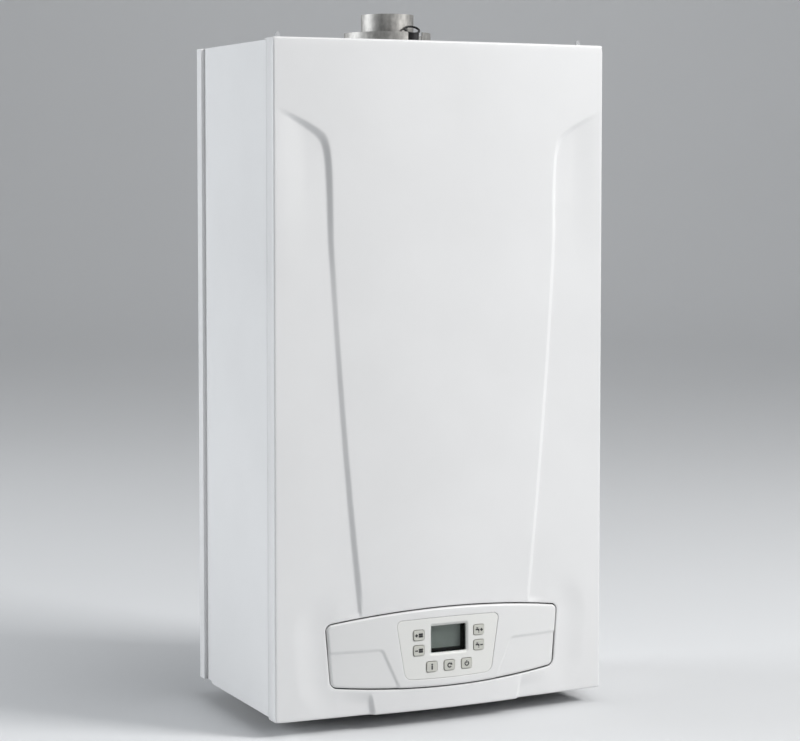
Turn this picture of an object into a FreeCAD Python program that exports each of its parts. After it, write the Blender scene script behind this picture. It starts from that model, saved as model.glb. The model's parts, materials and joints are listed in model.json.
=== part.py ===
"""Wall-hung gas combi boiler with a brazed plate heat exchanger.

Frame: +Z up, +X to the right of someone facing the boiler, the wall is the plane y = 0
and the front faces -Y. The origin is the middle of the wall side at the rear frame's lower edge.
"""
import FreeCAD, Part
import math
import os
import re

import Sketcher
from FreeCAD import Placement, Rotation, Vector

doc = FreeCAD.newDocument("wall_boiler")

# ---------------------------------------------------------------- driving dimensions, in millimetres
SIZES = {
    # casing
    "case_width": 400, "front_plane": 230, "frame_height": 724, "cover_height": 730,
    "cover_drop": 4, "skin": 1, "cover_return": 20, "corner_radius": 2,
    "lip_depth": 14, "channel_inset": 4, "channel_wall": 60, "panel_rear": 33, "plate": 1.2,
    "panel_front": 209.6, "panel_low": -0.5, "panel_high": 723.5, "panel_flange": 10,
    "top_panel_z": 718.6, "peg_offset": 183.4, "peg_depth": 201.4, "peg_top": 733,
    "peg_width": 5, "peg_slot": 3.5, "flange_rear": 190,
    "rail_z": 665, "rail_half": 190, "rail_height": 50, "rail_thick": 3,
    "hang_spacing": 320, "hang_radius": 6,
    # bow of the front
    "bow_top": 6, "bow_gain": 8.3, "bow_power_top": 2.5, "bow_power_drop": 0.8,
    "side_bow_top": 4.4, "side_bow_gain": 3.3, "bevel_width": 6.8, "bevel_taper": 0.3,
    "foot_base": 92.6, "foot_lean": 0.128, "foot_curve": 7.45e-5, "foot_most": 138.5,
    "flare_top": 650.4, "flare_slope": 0.47, "flare_blend": 11.5, "flare_margin": 5,
    # console
    "console_half": 141.5, "console_foot": 136, "console_low_mid": 21.5, "console_low_end": 29.4,
    "console_high_mid": 107.8, "console_high_end": 96.5, "console_corner": 6, "console_gap": 1,
    "console_proud": 1.7, "console_bow_half": 162, "console_wall": 2.4, "console_back": 224,
    "keypad_half_top": 63, "keypad_half_foot": 52.5, "keypad_low": 30.4, "keypad_high": 97.6,
    "keypad_corner": 7, "keypad_thick": 2, "keypad_recess": 0.3,
    "button_wide": 12.6, "button_tall": 10.9, "button_gap": 0.3, "button_proud": 1,
    "button_travel": 1.2, "column_half": 36.7, "row_pitch": 21.3, "button_high_z": 79.6,
    "button_mid_z": 62.8, "button_low_z": 43.8, "switch_face": 226,
    "lcd_wide": 42.3, "lcd_tall": 29.4, "lcd_z": 73.5, "lcd_face": 234, "pane_gap": 0.35,
    "box_half": 150, "box_low": 8, "box_high": 122, "box_rear": 150, "box_wall": 2,
    "board_face": 222, "board_thick": 1.6,
    # sealed chamber and combustion stack
    "chamber_half": 185, "chamber_low": 285, "chamber_high": 717.5, "chamber_front": 205,
    "chamber_back": 78, "chamber_step": 565, "chamber_deep": 20, "lid_front": 208,
    "glass_z": 385, "glass_radius": 15,
    "stack_half": 110, "stack_front": 184, "stack_back": 92,
    "burner_low": 312, "burner_high": 356, "blade_pitch": 18, "blade_wide": 8,
    "board_low": 366, "board_high": 478, "liner": 12,
    "fin_low": 480, "fin_high": 540, "fin_pitch": 6, "fin_thick": 0.8, "water_tube": 8,
    "hood_base": 541, "hood_bend": 570, "hood_top": 612,
    "manifold_z": 297, "manifold_radius": 7, "manifold_y": 142,
    # fan and flue
    "flue_y": 85, "spigot_radius": 30, "spigot_top": 763, "spigot_low": 717,
    "collar_radius": 49.5, "collar_top": 742, "tube_wall": 1.2, "flue_hole": 50,
    "collar_play": 1.2, "plug_x": 13, "plug_reach": 38, "plug_radius": 5.2, "plug_height": 15,
    "plug_head": 8, "head_base": 11, "head_height": 9, "ring_radius": 8.3, "ring_wire": 1.2,
    "ring_level": 23.4, "clip_radius": 3.4, "clip_wire": 0.7, "clip_aside": 8.5, "clip_level": 16.5,
    "fan_x": 36, "fan_z": 660, "fan_radius": 46, "fan_front": 110, "fan_back": 58.5,
    "fan_shaft": 4, "shaft_play": 0.05, "rotor_radius": 38, "neck_radius": 28,
    # water side
    "tail_y": 94, "tail_pitch": 65, "tail_low": -20, "tail_large": 13.22, "tail_small": 10.48,
    "thread_length": 36, "shank_step": 0.8,
    "block_low": 60, "block_high": 132, "block_front": 118, "block_back": 44,
    "pipe_radius": 9, "pipe_wall": 1, "flow_x": 165, "pump_x": 140, "pump_z": 205,
    "pump_radius": 46, "pump_out_x": 152, "pump_out_z": 262, "motor_front": 186,
    "vessel_half": 165, "vessel_low": 210, "vessel_high": 560, "vessel_front": 70,
    "vessel_back": 12, "vessel_corner": 60, "vessel_rim": 20, "vessel_wall": 1.5, "seam_width": 4,
    "nozzle_radius": 9, "nozzle_drop": 16,
    # plate heat exchanger
    "plate_half_x": 95, "plate_half_y": 38, "plate_y": 80, "plate_corner": 14,
    "stack_low": 135, "stack_high": 172, "end_plate": 2, "channel_count": 14,
    "rim_height": 2.2, "rim_wall": 1.4, "sheet_thick": 0.5, "ripple_pitch": 10,
    "ripple_angle": 60, "port_x": 77, "port_y": 20, "port_radius": 9,
}

sheet = doc.addObject("Spreadsheet::Sheet", "Sizes")
for row, (alias, value) in enumerate(SIZES.items(), start=1):
    sheet.set(f"A{row}", alias)
    sheet.set(f"B{row}", str(value))
    sheet.setAlias(f"B{row}", alias)
doc.recompute()

WORD = re.compile(r"[a-z_]+")
PARTS = []


def size(rule):
    """The value of a rule written with the sheet's names."""
    total = rule if not isinstance(rule, str) else sheet.evalExpression(named(rule))
    return float(total)


def named(rule):
    """The rule with each of the sheet's names written in full."""
    return WORD.sub(lambda hit: "Sizes." + hit.group() if hit.group() in SIZES else hit.group(), rule)


def tie(item, prop, rule):
    """Bind one property of a document object to a rule."""
    item.setExpression(prop, named(str(rule)))


def node(item, label):
    """Name a finished sub-part and keep it for export."""
    item.Label = label
    PARTS.append(item)
    return item


# ---------------------------------------------------------------- primitives and booleans
def box(stem, span_x, span_y, span_z):
    """A block between a low and a high rule on each axis."""
    item = doc.addObject("Part::Box", stem)
    spans = (("Length", "x", span_x), ("Width", "y", span_y), ("Height", "z", span_z))
    for prop, axis, (low, high) in spans:
        tie(item, prop, f"({high}) - ({low})")
        tie(item, "Placement.Base." + axis, f"{low}")
    return item


def rod(stem, radius, axis, span, centre):
    """A cylinder along an axis, between two rules, centred on two rules for the other axes."""
    item = doc.addObject("Part::Cylinder", stem)
    tie(item, "Radius", radius)
    tie(item, "Height", f"({span[1]}) - ({span[0]})")
    turns = {"x": Rotation(Vector(0, 1, 0), 90), "y": Rotation(Vector(1, 0, 0), -90), "z": Rotation()}
    item.Placement = Placement(Vector(), turns[axis])
    others = iter(centre)
    for each in "xyz":
        tie(item, "Placement.Base." + each, f"{span[0]}" if each == axis else f"{next(others)}")
    return item


def fuse(stem, *items):
    """All items as one solid."""
    item = doc.addObject("Part::MultiFuse", stem)
    item.Shapes = list(items)
    item.Refine = True
    return item


def cut(stem, base, *tools):
    """The base without the tools."""
    item = doc.addObject("Part::Cut", stem)
    item.Base = base
    item.Tool = tools[0] if len(tools) == 1 else fuse(stem + "_tools", *tools)
    item.Refine = True
    return item


def group(stem, *items):
    """Separate solids kept together in one node."""
    item = doc.addObject("Part::Compound", stem)
    item.Links = list(items)
    return item


def rounded(stem, base, radius, wanted):
    """The base with the edges that answer wanted rounded."""
    doc.recompute()
    item = doc.addObject("Part::Fillet", stem)
    item.Base = base
    value = size(radius)
    item.Edges = [(i, value, value) for i, edge in enumerate(base.Shape.Edges, start=1) if wanted(edge)]
    return item


def runs_along(axis, x=None, y=None, z=None, slack=0.05):
    """A test for straight edges along one axis that pass through the given coordinates."""
    def test(edge):
        ends = [v.Point for v in edge.Vertexes]
        if len(ends) != 2:
            return False
        way = ends[1] - ends[0]
        across = [abs(way[i]) for i in range(3) if i != "xyz".index(axis)]
        if max(across) > slack or abs(way["xyz".index(axis)]) < slack:
            return False
        middle = edge.CenterOfMass
        wanted = (x, y, z)
        return all(w is None or min(abs(middle[i] - p) for p in w) < slack for i, w in enumerate(wanted))
    return test


def sides(inner, outer, side):
    """A span from inner to outer on the +1 or -1 side of the middle plane."""
    return (inner, outer) if side > 0 else (f"-({outer})", f"-({inner})")


# ---------------------------------------------------------------- bodies made from sketches
def body(label):
    """A new body that becomes a node."""
    item = doc.addObject("PartDesign::Body", label)
    return node(item, label)


def sketch(owner, stem, plane, height="0"):
    """A sketch on one of the body's own origin planes, lifted along that plane's normal."""
    item = owner.newObject("Sketcher::SketchObject", stem)
    flat = [f for f in owner.Origin.OriginFeatures if f.Role == plane][0]
    item.AttachmentSupport = [(flat, "")]
    item.MapMode = "FlatFace"
    tie(item, "AttachmentOffset.Base.z", height)
    return item


def pin_down(item, kind, first, second, rule):
    """One driving distance of a sketch, tied to a rule."""
    index = item.addConstraint(Sketcher.Constraint(kind, *first, *second, size(rule)))
    item.setExpression(f"Constraints[{index}]", named(rule))


def rectangle(item, span_u, span_v):
    """A rectangle in a sketch between two rules each way."""
    low_u, high_u, low_v, high_v = (size(rule) for rule in (*span_u, *span_v))
    corners = [(low_u, low_v), (high_u, low_v), (high_u, high_v), (low_u, high_v)]
    first = item.GeometryCount
    for i in range(4):
        start, end = Vector(*corners[i], 0), Vector(*corners[(i + 1) % 4], 0)
        item.addGeometry(Part.LineSegment(start, end), False)
    for i in range(4):
        item.addConstraint(Sketcher.Constraint("Coincident", first + i, 2, first + (i + 1) % 4, 1))
        item.addConstraint(Sketcher.Constraint("Horizontal" if i % 2 == 0 else "Vertical", first + i))
    pin_down(item, "DistanceX", (-1, 1), (first, 1), span_u[0])
    pin_down(item, "DistanceX", (-1, 1), (first + 1, 1), span_u[1])
    pin_down(item, "DistanceY", (-1, 1), (first, 1), span_v[0])
    pin_down(item, "DistanceY", (-1, 1), (first + 2, 1), span_v[1])


def circle(item, centre, radius):
    """A circle in a sketch, its centre and radius tied to rules."""
    place = Vector(size(centre[0]), size(centre[1]), 0)
    at = item.addGeometry(Part.Circle(place, Vector(0, 0, 1), size(radius)), False)
    pin_down(item, "DistanceX", (-1, 1), (at, 3), centre[0])
    pin_down(item, "DistanceY", (-1, 1), (at, 3), centre[1])
    index = item.addConstraint(Sketcher.Constraint("Radius", at, size(radius)))
    item.setExpression(f"Constraints[{index}]", named(radius))


def pad(owner, profile, length, reverse=False):
    """A pad of a sketch along its normal."""
    item = owner.newObject("PartDesign::Pad", "Pad")
    item.Profile = profile
    item.Reversed = reverse
    tie(item, "Length", length)
    owner.Tip = item
    doc.recompute()
    return item


def pocket(owner, profile, length, reverse=False):
    """A pocket of a sketch; it has to take material away."""
    before = owner.Shape.Volume
    item = owner.newObject("PartDesign::Pocket", "Pocket")
    item.Profile = profile
    item.Reversed = reverse
    tie(item, "Length", length)
    owner.Tip = item
    doc.recompute()
    if owner.Shape.Volume >= before:
        raise RuntimeError(owner.Label + ": a pocket cuts nothing")
    return item


def around(owner, features, axis, count):
    """Features repeated about one of the body's own axes."""
    item = owner.newObject("PartDesign::PolarPattern", "PolarPattern")
    item.Originals = features
    line = [f for f in owner.Origin.OriginFeatures if f.Role == axis][0]
    item.Axis = (line, [""])
    item.Angle = 360
    item.Occurrences = count
    owner.Tip = item
    doc.recompute()
    return item


def placed(owner, x="0", y="0", z="0"):
    """A body moved to its place."""
    for axis, rule in (("x", x), ("y", y), ("z", z)):
        tie(owner, "Placement.Base." + axis, rule)


def feature(label, shape):
    """A sub-part whose shape comes from its own function."""
    item = doc.addObject("Part::Feature", label)
    item.Shape = shape
    return node(item, label)


# ---------------------------------------------------------------- casing
HALF = "case_width / 2"


def rear_frame():
    """Pressed back plate whose edges fold forward, step inward and run on behind the side panels."""
    pieces = [box("back_plate", (f"-({HALF})", HALF), ("-plate", "0"), ("0", "frame_height"))]
    inner = f"{HALF} - channel_inset - plate"
    for side in (-1, 1):
        lip = sides(f"{HALF} - plate", HALF, side)
        joggle = sides(inner, HALF, side)
        wall = sides(inner, f"{HALF} - channel_inset", side)
        pieces.append(box("lip", lip, ("-lip_depth", "0"), ("0", "frame_height")))
        pieces.append(box("joggle", joggle, ("-lip_depth", "-lip_depth + plate"), ("0", "frame_height")))
        pieces.append(box("channel", wall, ("-channel_wall", "-lip_depth"), ("0", "frame_height")))
    holes = [rod("hang_hole", "hang_radius", "y", ("-10", "5"), (f"{s} * hang_spacing / 2", "rail_z"))
             for s in (-1, 1)]
    shell = cut("frame_shell", fuse("frame_body", *pieces), *holes)
    corner = runs_along("x", y=[-size("channel_wall")], z=[0])
    node(rounded("frame_rounded", shell, "5", corner), "rear_frame")


def hanging_rail():
    """Strip behind the top of the frame with the two holes that hang on the wall bolts."""
    rail = body("hanging_rail")
    face = sketch(rail, "rail_face", "XZ_Plane", "plate")
    rectangle(face, ("-rail_half", "rail_half"), ("rail_z - rail_height / 2", "rail_z + rail_height / 2"))
    for side in (-1, 1):
        circle(face, (f"{side} * hang_spacing / 2", "rail_z"), "hang_radius")
    pad(rail, face, "rail_thick")


def top_panel():
    """Roof sheet with the opening for the flue."""
    roof = body("top_panel")
    face = sketch(roof, "roof_face", "XY_Plane", "top_panel_z")
    rectangle(face, ("-194.5", "194.5"), ("-205", "-rail_thick - plate - 0.3"))
    circle(face, ("0", "-flue_y"), "flue_hole")
    pad(roof, face, "plate")


def side_panel(side, label):
    """Side sheet with its folded front, rear, top and bottom flanges and a notch for the cover screw."""
    sheet_span = sides(f"{HALF} - skin", HALF, side)
    fold = sides(f"{HALF} - 12.5", f"{HALF} - skin / 2", side)
    narrow = sides(f"{HALF} - panel_flange", f"{HALF} - skin / 2", side)
    rear = sides(f"{HALF} - 3.5", f"{HALF} - skin / 2", side)
    shelf = sides(f"{HALF} - 24", f"{HALF} - skin / 2", side)
    height = ("panel_low", "panel_high")
    depth = ("-panel_front", "-panel_rear")
    pieces = [
        box("side_sheet", sheet_span, depth, height),
        box("front_flange", fold, ("-panel_front", "-panel_front + skin"), height),
        box("rear_flange", rear, ("-panel_rear - skin", "-panel_rear"), height),
        box("top_flange", narrow, ("-panel_front", "-channel_wall - 1"), ("panel_high - skin", "panel_high")),
        box("screw_shelf", shelf, ("-panel_front", "-panel_front + 20"), ("panel_low", "panel_low + skin")),
    ]
    notch = box("notch", sides(f"{HALF} - 16.5", f"{HALF} - 11.5", side),
                ("-panel_front - 1", "-197"), ("panel_low - 1", "panel_low + 3"))
    ear_hole = rod("ear_hole", "2.2", "y", ("-215", "-200"), (f"{side} * ({HALF} - 8)", "70"))
    shell = cut("side_shell", fuse("side_body", *pieces), notch, ear_hole)
    corner = runs_along("x", y=[-size("panel_rear")], z=[size("panel_low")])
    node(rounded("side_rounded", shell, "9", corner), label)


def hook_pegs():
    """Two upright pegs on the roof that the cover's slots hook over."""
    pegs = []
    for side in (-1, 1):
        low, high = f"{side} * peg_offset - peg_width / 2", f"{side} * peg_offset + peg_width / 2"
        foot = box("peg_foot", (f"{low} - 2", f"{high} + 2"), ("-204", "-194"),
                   ("top_panel_z + plate", "top_panel_z + 2 * plate"))
        stem = box("peg_stem", (low, high), ("-peg_depth - 0.8", "-peg_depth + 0.8"),
                   ("top_panel_z + 1.5 * plate", "peg_top"))
        peg = fuse("peg", foot, stem)
        pegs.append(rounded("peg_round", peg, "2.2", runs_along("y", z=[size("peg_top")])))
    node(group("peg_pair", *pegs), "hook_pegs")


def down(z):
    """How far down the cover a level is, from 0 at its top edge to 1 at its bottom edge."""
    top = size("cover_height - cover_drop")
    return (top - z) / size("cover_height")


def shield_bow(x, z):
    """How far the raised middle of the front stands proud of the front plane."""
    power = size("bow_power_top") - size("bow_power_drop") * down(z)
    return (size("bow_top") + size("bow_gain") * down(z)) * (1 - abs(x / size(HALF)) ** power)


def side_bow(x, z):
    """How far the lower side areas of the front stand proud of the front plane."""
    return (size("side_bow_top") + size("side_bow_gain") * down(z)) * (1 - (x / size(HALF)) ** 2)


def bevel_lines(z):
    """Half widths of the bevel's foot and crest at a level; they flare out to the side edges."""
    upright = size("foot_base") + size("foot_lean") * z - size("foot_curve") * z * z
    upright = min(upright, size("foot_most"))
    slanted = size(HALF) - (size("flare_top") - z) / size("flare_slope")
    apart = (slanted - upright) / 2
    blend = math.hypot(apart, size("flare_blend"))
    turned = (1 + apart / blend) / 2
    foot = min((slanted + upright) / 2 + blend, size(HALF) - size("flare_margin"))
    width = size("bevel_width") * (1 - size("bevel_taper") * turned)
    return foot, foot - width * math.hypot(1, turned / size("flare_slope"))


def front_line(z, level, shift):
    """A smooth curve across the front, shaped as at one level and drawn at height z."""
    foot, crest = bevel_lines(level)
    edge = size(HALF) - size("corner_radius")
    half = [(part * crest, "shield") for part in (0.35, 0.7, 0.93)]
    low = "side" if level < size("flare_top") else "shield"
    half += [(crest, "shield"), ((foot + crest) / 2, "middle" if low == "side" else low), (foot, low)]
    half += [(foot + (edge - foot) * part, low) for part in (0.2, 0.6, 1)]

    def proud(x, kind):
        high, low = shield_bow(x, level), side_bow(x, level)
        return {"shield": high, "side": low, "middle": (high + low) / 2}[kind]

    right = [Vector(x, -size("front_plane") - proud(x, kind) + shift, z) for x, kind in half]
    left = [Vector(-p.x, p.y, p.z) for p in reversed(right)]
    middle = Vector(0, -size("front_plane") - shield_bow(0, level) + shift, z)
    curve = Part.BSplineCurve()
    curve.interpolate(left + [middle] + right)
    return curve.toShape(), left[0], right[-1]


def tray_edges(z, level, shift, open_y):
    """Front curve, rounded corners and straight returns of one face of the cover's sheet."""
    half, bend = size(HALF), size("corner_radius")
    radius = bend - shift
    turn_y = -size("front_plane") + bend
    curve, left, right = front_line(z, level, shift)
    chain = [curve]
    for side, tip in ((-1, left), (1, right)):
        knee = Vector(side * (half - shift), turn_y, z)
        lean = radius * math.sqrt(0.5)
        middle = Vector(side * (half - bend + lean), turn_y - (turn_y - tip.y) * math.sqrt(0.5), z)
        chain.append(Part.Arc(knee, middle, tip).toShape())
        chain.append(Part.makeLine(knee, Vector(side * (half - shift), open_y, z)))
    return chain


def cover_section(z, level):
    """Closed outline of the cover's sheet: front, rounded corners and side returns."""
    half, skin = size(HALF), size("skin")
    open_y = -size("front_plane") + size("cover_return")
    edges = tray_edges(z, level, 0, open_y) + tray_edges(z, level, skin, open_y)
    for side in (-1, 1):
        edges.append(Part.makeLine(Vector(side * half, open_y, z), Vector(side * (half - skin), open_y, z)))
    return Part.Wire(Part.__sortEdges__(edges))


def edge_flange(z, level, rear, lift):
    """Flat flange behind the front, from height z to z + lift."""
    inside = size(HALF) - size("skin")
    knee_y = -size("front_plane") + 18
    edges = tray_edges(z, level, size("skin"), knee_y)
    points = [Vector(inside, knee_y, z), Vector(inside - 7, -rear, z), Vector(-inside + 7, -rear, z),
              Vector(-inside, knee_y, z)]
    edges += [Part.makeLine(points[i], points[i + 1]) for i in range(3)]
    return Part.Face(Part.Wire(Part.__sortEdges__(edges))).extrude(Vector(0, 0, lift))


def console_outline(grow, y):
    """Outline of the console on a plane parallel to the wall: bowed top and bottom, rounded corners."""
    top, foot = size("console_half"), size("console_foot")
    low_mid, low_end = size("console_low_mid"), size("console_low_end")
    high_mid, high_end = size("console_high_mid"), size("console_high_end")
    a, b = Vector(-foot, y, low_end), Vector(foot, y, low_end)
    c, d = Vector(top, y, high_end), Vector(-top, y, high_end)
    edges = [
        Part.Arc(a, Vector(0, y, low_mid), b).toShape(), Part.makeLine(b, c),
        Part.Arc(c, Vector(0, y, high_mid), d).toShape(), Part.makeLine(d, a),
    ]
    return offset_outline(Part.Wire(edges), grow)


def offset_outline(wire, grow):
    """The outline grown or shrunk by a distance."""
    return wire if grow == 0 else wire.makeOffset2D(grow, join=2)


def prism(wire, depth, radius):
    """The outline pushed toward the wall, with its four long corners rounded."""
    solid = Part.Face(wire).extrude(Vector(0, depth, 0))
    long_edges = [e for e in solid.Edges if runs_along("y")(e)]
    return solid.makeFillet(radius, long_edges)


def keypad_outline(grow, y):
    """Outline of the keypad insert: wider at its top, bowed top and bottom."""
    top, foot = size("keypad_half_top"), size("keypad_half_foot")
    low, high = size("keypad_low"), size("keypad_high")
    a, b = Vector(-foot, y, low + 1.2), Vector(foot, y, low + 1.2)
    c, d = Vector(top, y, high - 1.2), Vector(-top, y, high - 1.2)
    edges = [
        Part.Arc(a, Vector(0, y, low), b).toShape(), Part.makeLine(b, c),
        Part.Arc(c, Vector(0, y, high), d).toShape(), Part.makeLine(d, a),
    ]
    return offset_outline(Part.Wire(edges), grow)


SECTION_LEVELS = (70, 180, 300, 420, 520, 570, 592, 606, 616, 624, 632, 640, 646, 652, 690)


def front_cover():
    """Bowed sheet tray with a raised shield, side returns, a roof flange and the console's opening."""
    top, low = size("cover_height - cover_drop"), -size("cover_drop")
    skin = size("skin")
    levels = [(low, low), (low + skin, low)]
    levels += [(z, z) for z in SECTION_LEVELS]
    levels += [(top - skin, top), (top, top)]
    shell = Part.makeLoft([cover_section(z, level) for z, level in levels], True, True)
    roof = edge_flange(top - skin, top, size("flange_rear"), skin)
    floor = edge_flange(low, low, 192, skin)
    shell = shell.fuse([roof, floor])
    opening = prism(console_outline(size("console_gap"), -270), 60, size("console_corner") + 1)
    tools = [opening]
    for side in (-1, 1):
        x = side * size("peg_offset")
        slot = Part.makeBox(2 * size("peg_slot"), 20, 4, Vector(x - size("peg_slot"), -206, top - 2))
        hole = Part.makeCylinder(2.2, 6, Vector(side * (size(HALF) - 14), -200, low - 2))
        slit = Part.makeBox(3, 18, 1.5, Vector(side * size(HALF) - 1.5, -227, top - 2.5))
        tools += [slot, hole, slit]
    feature("front_cover", shell.cut(tools).removeSplitter())


def hex_screw(x, y, z, shank, length, head, head_height, up):
    """Hexagon-head screw with its shank along Z; up tells which way the shank points."""
    way = 1 if up else -1
    body_part = Part.makeCylinder(shank, length, Vector(x, y, z), Vector(0, 0, way))
    corners = [Vector(x + head * math.cos(math.radians(60 * i)), y + head * math.sin(math.radians(60 * i)), z)
               for i in range(7)]
    cap = Part.Face(Part.makePolygon(corners)).extrude(Vector(0, 0, -way * head_height))
    return body_part.fuse(cap)


def cover_screws():
    """The two screws that hold the cover's lower flange."""
    low = -size("cover_drop")
    screws = [hex_screw(side * (size(HALF) - 14), -200, low, 1.95, 10, 4, 2.6, True) for side in (-1, 1)]
    feature("cover_screws", Part.makeCompound(screws))


# ---------------------------------------------------------------- console
def console_surface(x, z):
    """How far the console's face stands from the wall at a point."""
    amplitude = size("bow_top") + size("bow_gain") * down(z) + size("console_proud")
    return size("front_plane") + amplitude * (1 - (x / size("console_bow_half")) ** 2)


def under_console(sink, rear):
    """Solid between a plane and the console's face sunk by a distance."""
    wires = []
    for z in (5, 125):
        points = [Vector(x, -console_surface(x, z) + sink, z) for x in range(-150, 151, 50)]
        curve = Part.BSplineCurve()
        curve.interpolate(points)
        ends = [points[-1], Vector(150, rear, z), Vector(-150, rear, z), points[0]]
        lines = [Part.makeLine(ends[i], ends[i + 1]) for i in range(3)]
        wires.append(Part.Wire(Part.__sortEdges__([curve.toShape()] + lines)))
    return Part.makeLoft(wires, True, True)


def low_corner_recess(side):
    """The shallow sunk area in one lower outer corner of the console."""
    outline = [(160, 67.8), (84, 67.8), (78, 65), (54.5, 15), (160, 15), (160, 67.8)]
    points = [Vector(side * x, -275, z) for x, z in outline]
    tall = Part.Face(Part.makePolygon(points)).extrude(Vector(0, 60, 0))
    return tall.cut(under_console(1, -200))


def console_fascia():
    """Bowed plastic front of the console with a skirt that meets the control box."""
    back, wall = -size("console_back"), size("console_wall")
    corner = size("console_corner")
    outer = prism(console_outline(0, -270), 270 + back, corner).common(under_console(0, back))
    rim = [e for e in outer.Edges if e.BoundBox.YMax < back - 1 and not runs_along("y")(e)]
    outer = outer.makeFillet(2, rim)
    inner = prism(console_outline(-wall, -270), 270 + back + 1, corner - wall)
    hollow = inner.common(under_console(wall, back + 1))
    window = prism(keypad_outline(0.25, -270), 60, size("keypad_corner"))
    recesses = [low_corner_recess(side) for side in (-1, 1)]
    feature("console_fascia", outer.cut([hollow, window] + recesses))


def keypad_plate():
    """Slightly sunk insert with the button holes and the display's opening."""
    thick, sink = size("keypad_thick"), size("keypad_recess")
    blank = prism(keypad_outline(0, -270), 60, size("keypad_corner"))
    plate = blank.common(under_console(sink, -210)).cut(under_console(sink + thick, -209))
    tools = []
    for x, z, _ in button_places():
        tools.append(button_block(x, z, size("button_gap"), -262, 50))
    tools.append(window_block(0, -262, 50))
    feature("keypad_plate", plate.cut(tools))


def window_block(grow, front, depth):
    """Block through the display's opening."""
    wide, tall = size("lcd_wide") / 2 + grow, size("lcd_tall") / 2 + grow
    block = Part.makeBox(2 * wide, depth, 2 * tall, Vector(-wide, front, size("lcd_z") - tall))
    return block.makeFillet(1, [e for e in block.Edges if runs_along("y")(e)])


def button_places():
    """Place and name of each button: two columns beside the display and a row below it."""
    column, row = size("column_half"), size("row_pitch")
    high, mid, low = size("button_high_z"), size("button_mid_z"), size("button_low_z")
    return [
        (-column, high, "button_heat_up"), (-column, mid, "button_heat_down"),
        (column, high, "button_water_up"), (column, mid, "button_water_down"),
        (-row, low, "button_info"), (0, low, "button_reset"), (row, low, "button_standby"),
    ]


def button_block(x, z, grow, front, depth):
    """Rounded block of a button's outline."""
    wide, tall = size("button_wide") / 2 + grow, size("button_tall") / 2 + grow
    block = Part.makeBox(2 * wide, depth, 2 * tall, Vector(x - wide, front, z - tall))
    return block.makeFillet(2.6, [e for e in block.Edges if runs_along("y")(e)])


def buttons():
    """Seven buttons, each a rounded cap, a flange behind the keypad and a stem to its switch."""
    for x, z, label in button_places():
        face = console_surface(x, z) + size("button_proud") - size("keypad_recess")
        behind = console_surface(abs(x) + 9, z) - size("keypad_recess") - size("keypad_thick")
        flange_front = behind - 0.4
        key = body(label)
        cap = sketch(key, "cap", "XZ_Plane", f"{flange_front - 1.5}")
        rectangle(cap, ("-button_wide / 2", "button_wide / 2"), ("-button_tall / 2", "button_tall / 2"))
        block = pad(key, cap, f"{face - flange_front + 1.5}")
        upright = [f"Edge{i}" for i, e in enumerate(block.Shape.Edges, 1) if runs_along("y")(e)]
        corners = key.newObject("PartDesign::Fillet", "Corners")
        corners.Base = (block, upright)
        corners.Radius = 2.3
        key.Tip = corners
        doc.recompute()
        crown = [f"Edge{i}" for i, e in enumerate(corners.Shape.Edges, 1) if e.BoundBox.YMax < -face + 0.1]
        soft = key.newObject("PartDesign::Fillet", "Crown")
        soft.Base = (corners, crown)
        soft.Radius = 0.6
        key.Tip = soft
        flange = sketch(key, "flange", "XZ_Plane", f"{flange_front - 1.5}")
        wide, tall = "(button_wide + 2.4) / 2", "(button_tall + 2.4) / 2"
        rectangle(flange, (f"-{wide}", wide), (f"-{tall}", tall))
        pad(key, flange, "1.5")
        stem = sketch(key, "stem", "XZ_Plane", "switch_face + button_travel + 0.4")
        circle(stem, ("0", "0"), "2")
        pad(key, stem, f"{flange_front - 1} - switch_face - button_travel - 0.4")
        placed(key, x=f"{x}", z=f"{z}")


def lcd_pieces():
    """Clear window in the keypad's opening and the display module behind it."""
    window = body("lcd_window")
    pane = sketch(window, "pane", "XZ_Plane", "243.6")
    rectangle(pane, ("-lcd_wide / 2 + pane_gap", "lcd_wide / 2 - pane_gap"),
              ("lcd_z - lcd_tall / 2 + pane_gap", "lcd_z + lcd_tall / 2 - pane_gap"))
    pad(window, pane, "1.2")
    module = body("lcd_module")
    block = sketch(module, "block", "XZ_Plane", "board_face")
    rectangle(block, ("-26", "26"), ("lcd_z - 16.5", "lcd_z + 16.5"))
    pad(module, block, "lcd_face - board_face")


def control_box():
    """Shallow plastic box that carries the fascia and the circuit board, with an ear at each side."""
    front = "-console_back"
    shell = box("box_shell", ("-box_half", "box_half"), (front, "-box_rear"), ("box_low", "box_high"))
    hollow = box("box_hollow", ("-box_half + box_wall", "box_half - box_wall"),
                 (f"{front} + box_wall", "-box_rear - box_wall"),
                 ("box_low + box_wall", "box_high - box_wall"))
    mouth = box("box_mouth", ("-128", "128"), ("-230", "-215"), ("36", "96"))
    ears = [box("ear", sides("box_half - 1", "195", side), ("-208.6", "-206.6"), ("60", "80"))
            for side in (-1, 1)]
    ear_holes = [rod("ear_screw_hole", "2.2", "y", ("-210", "-205"), (f"{side} * 192", "70"))
                 for side in (-1, 1)]
    gland = rod("gland_boss", "9", "z", ("-2", "box_low + 1"), ("-110", "-175"))
    gland_bore = rod("gland_bore", "4.5", "z", ("-5", "box_low + 4"), ("-110", "-175"))
    whole = fuse("box_body", cut("box_tray", shell, hollow, mouth), *ears, gland)
    node(cut("box_cut", whole, gland_bore, *ear_holes), "control_box")


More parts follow.
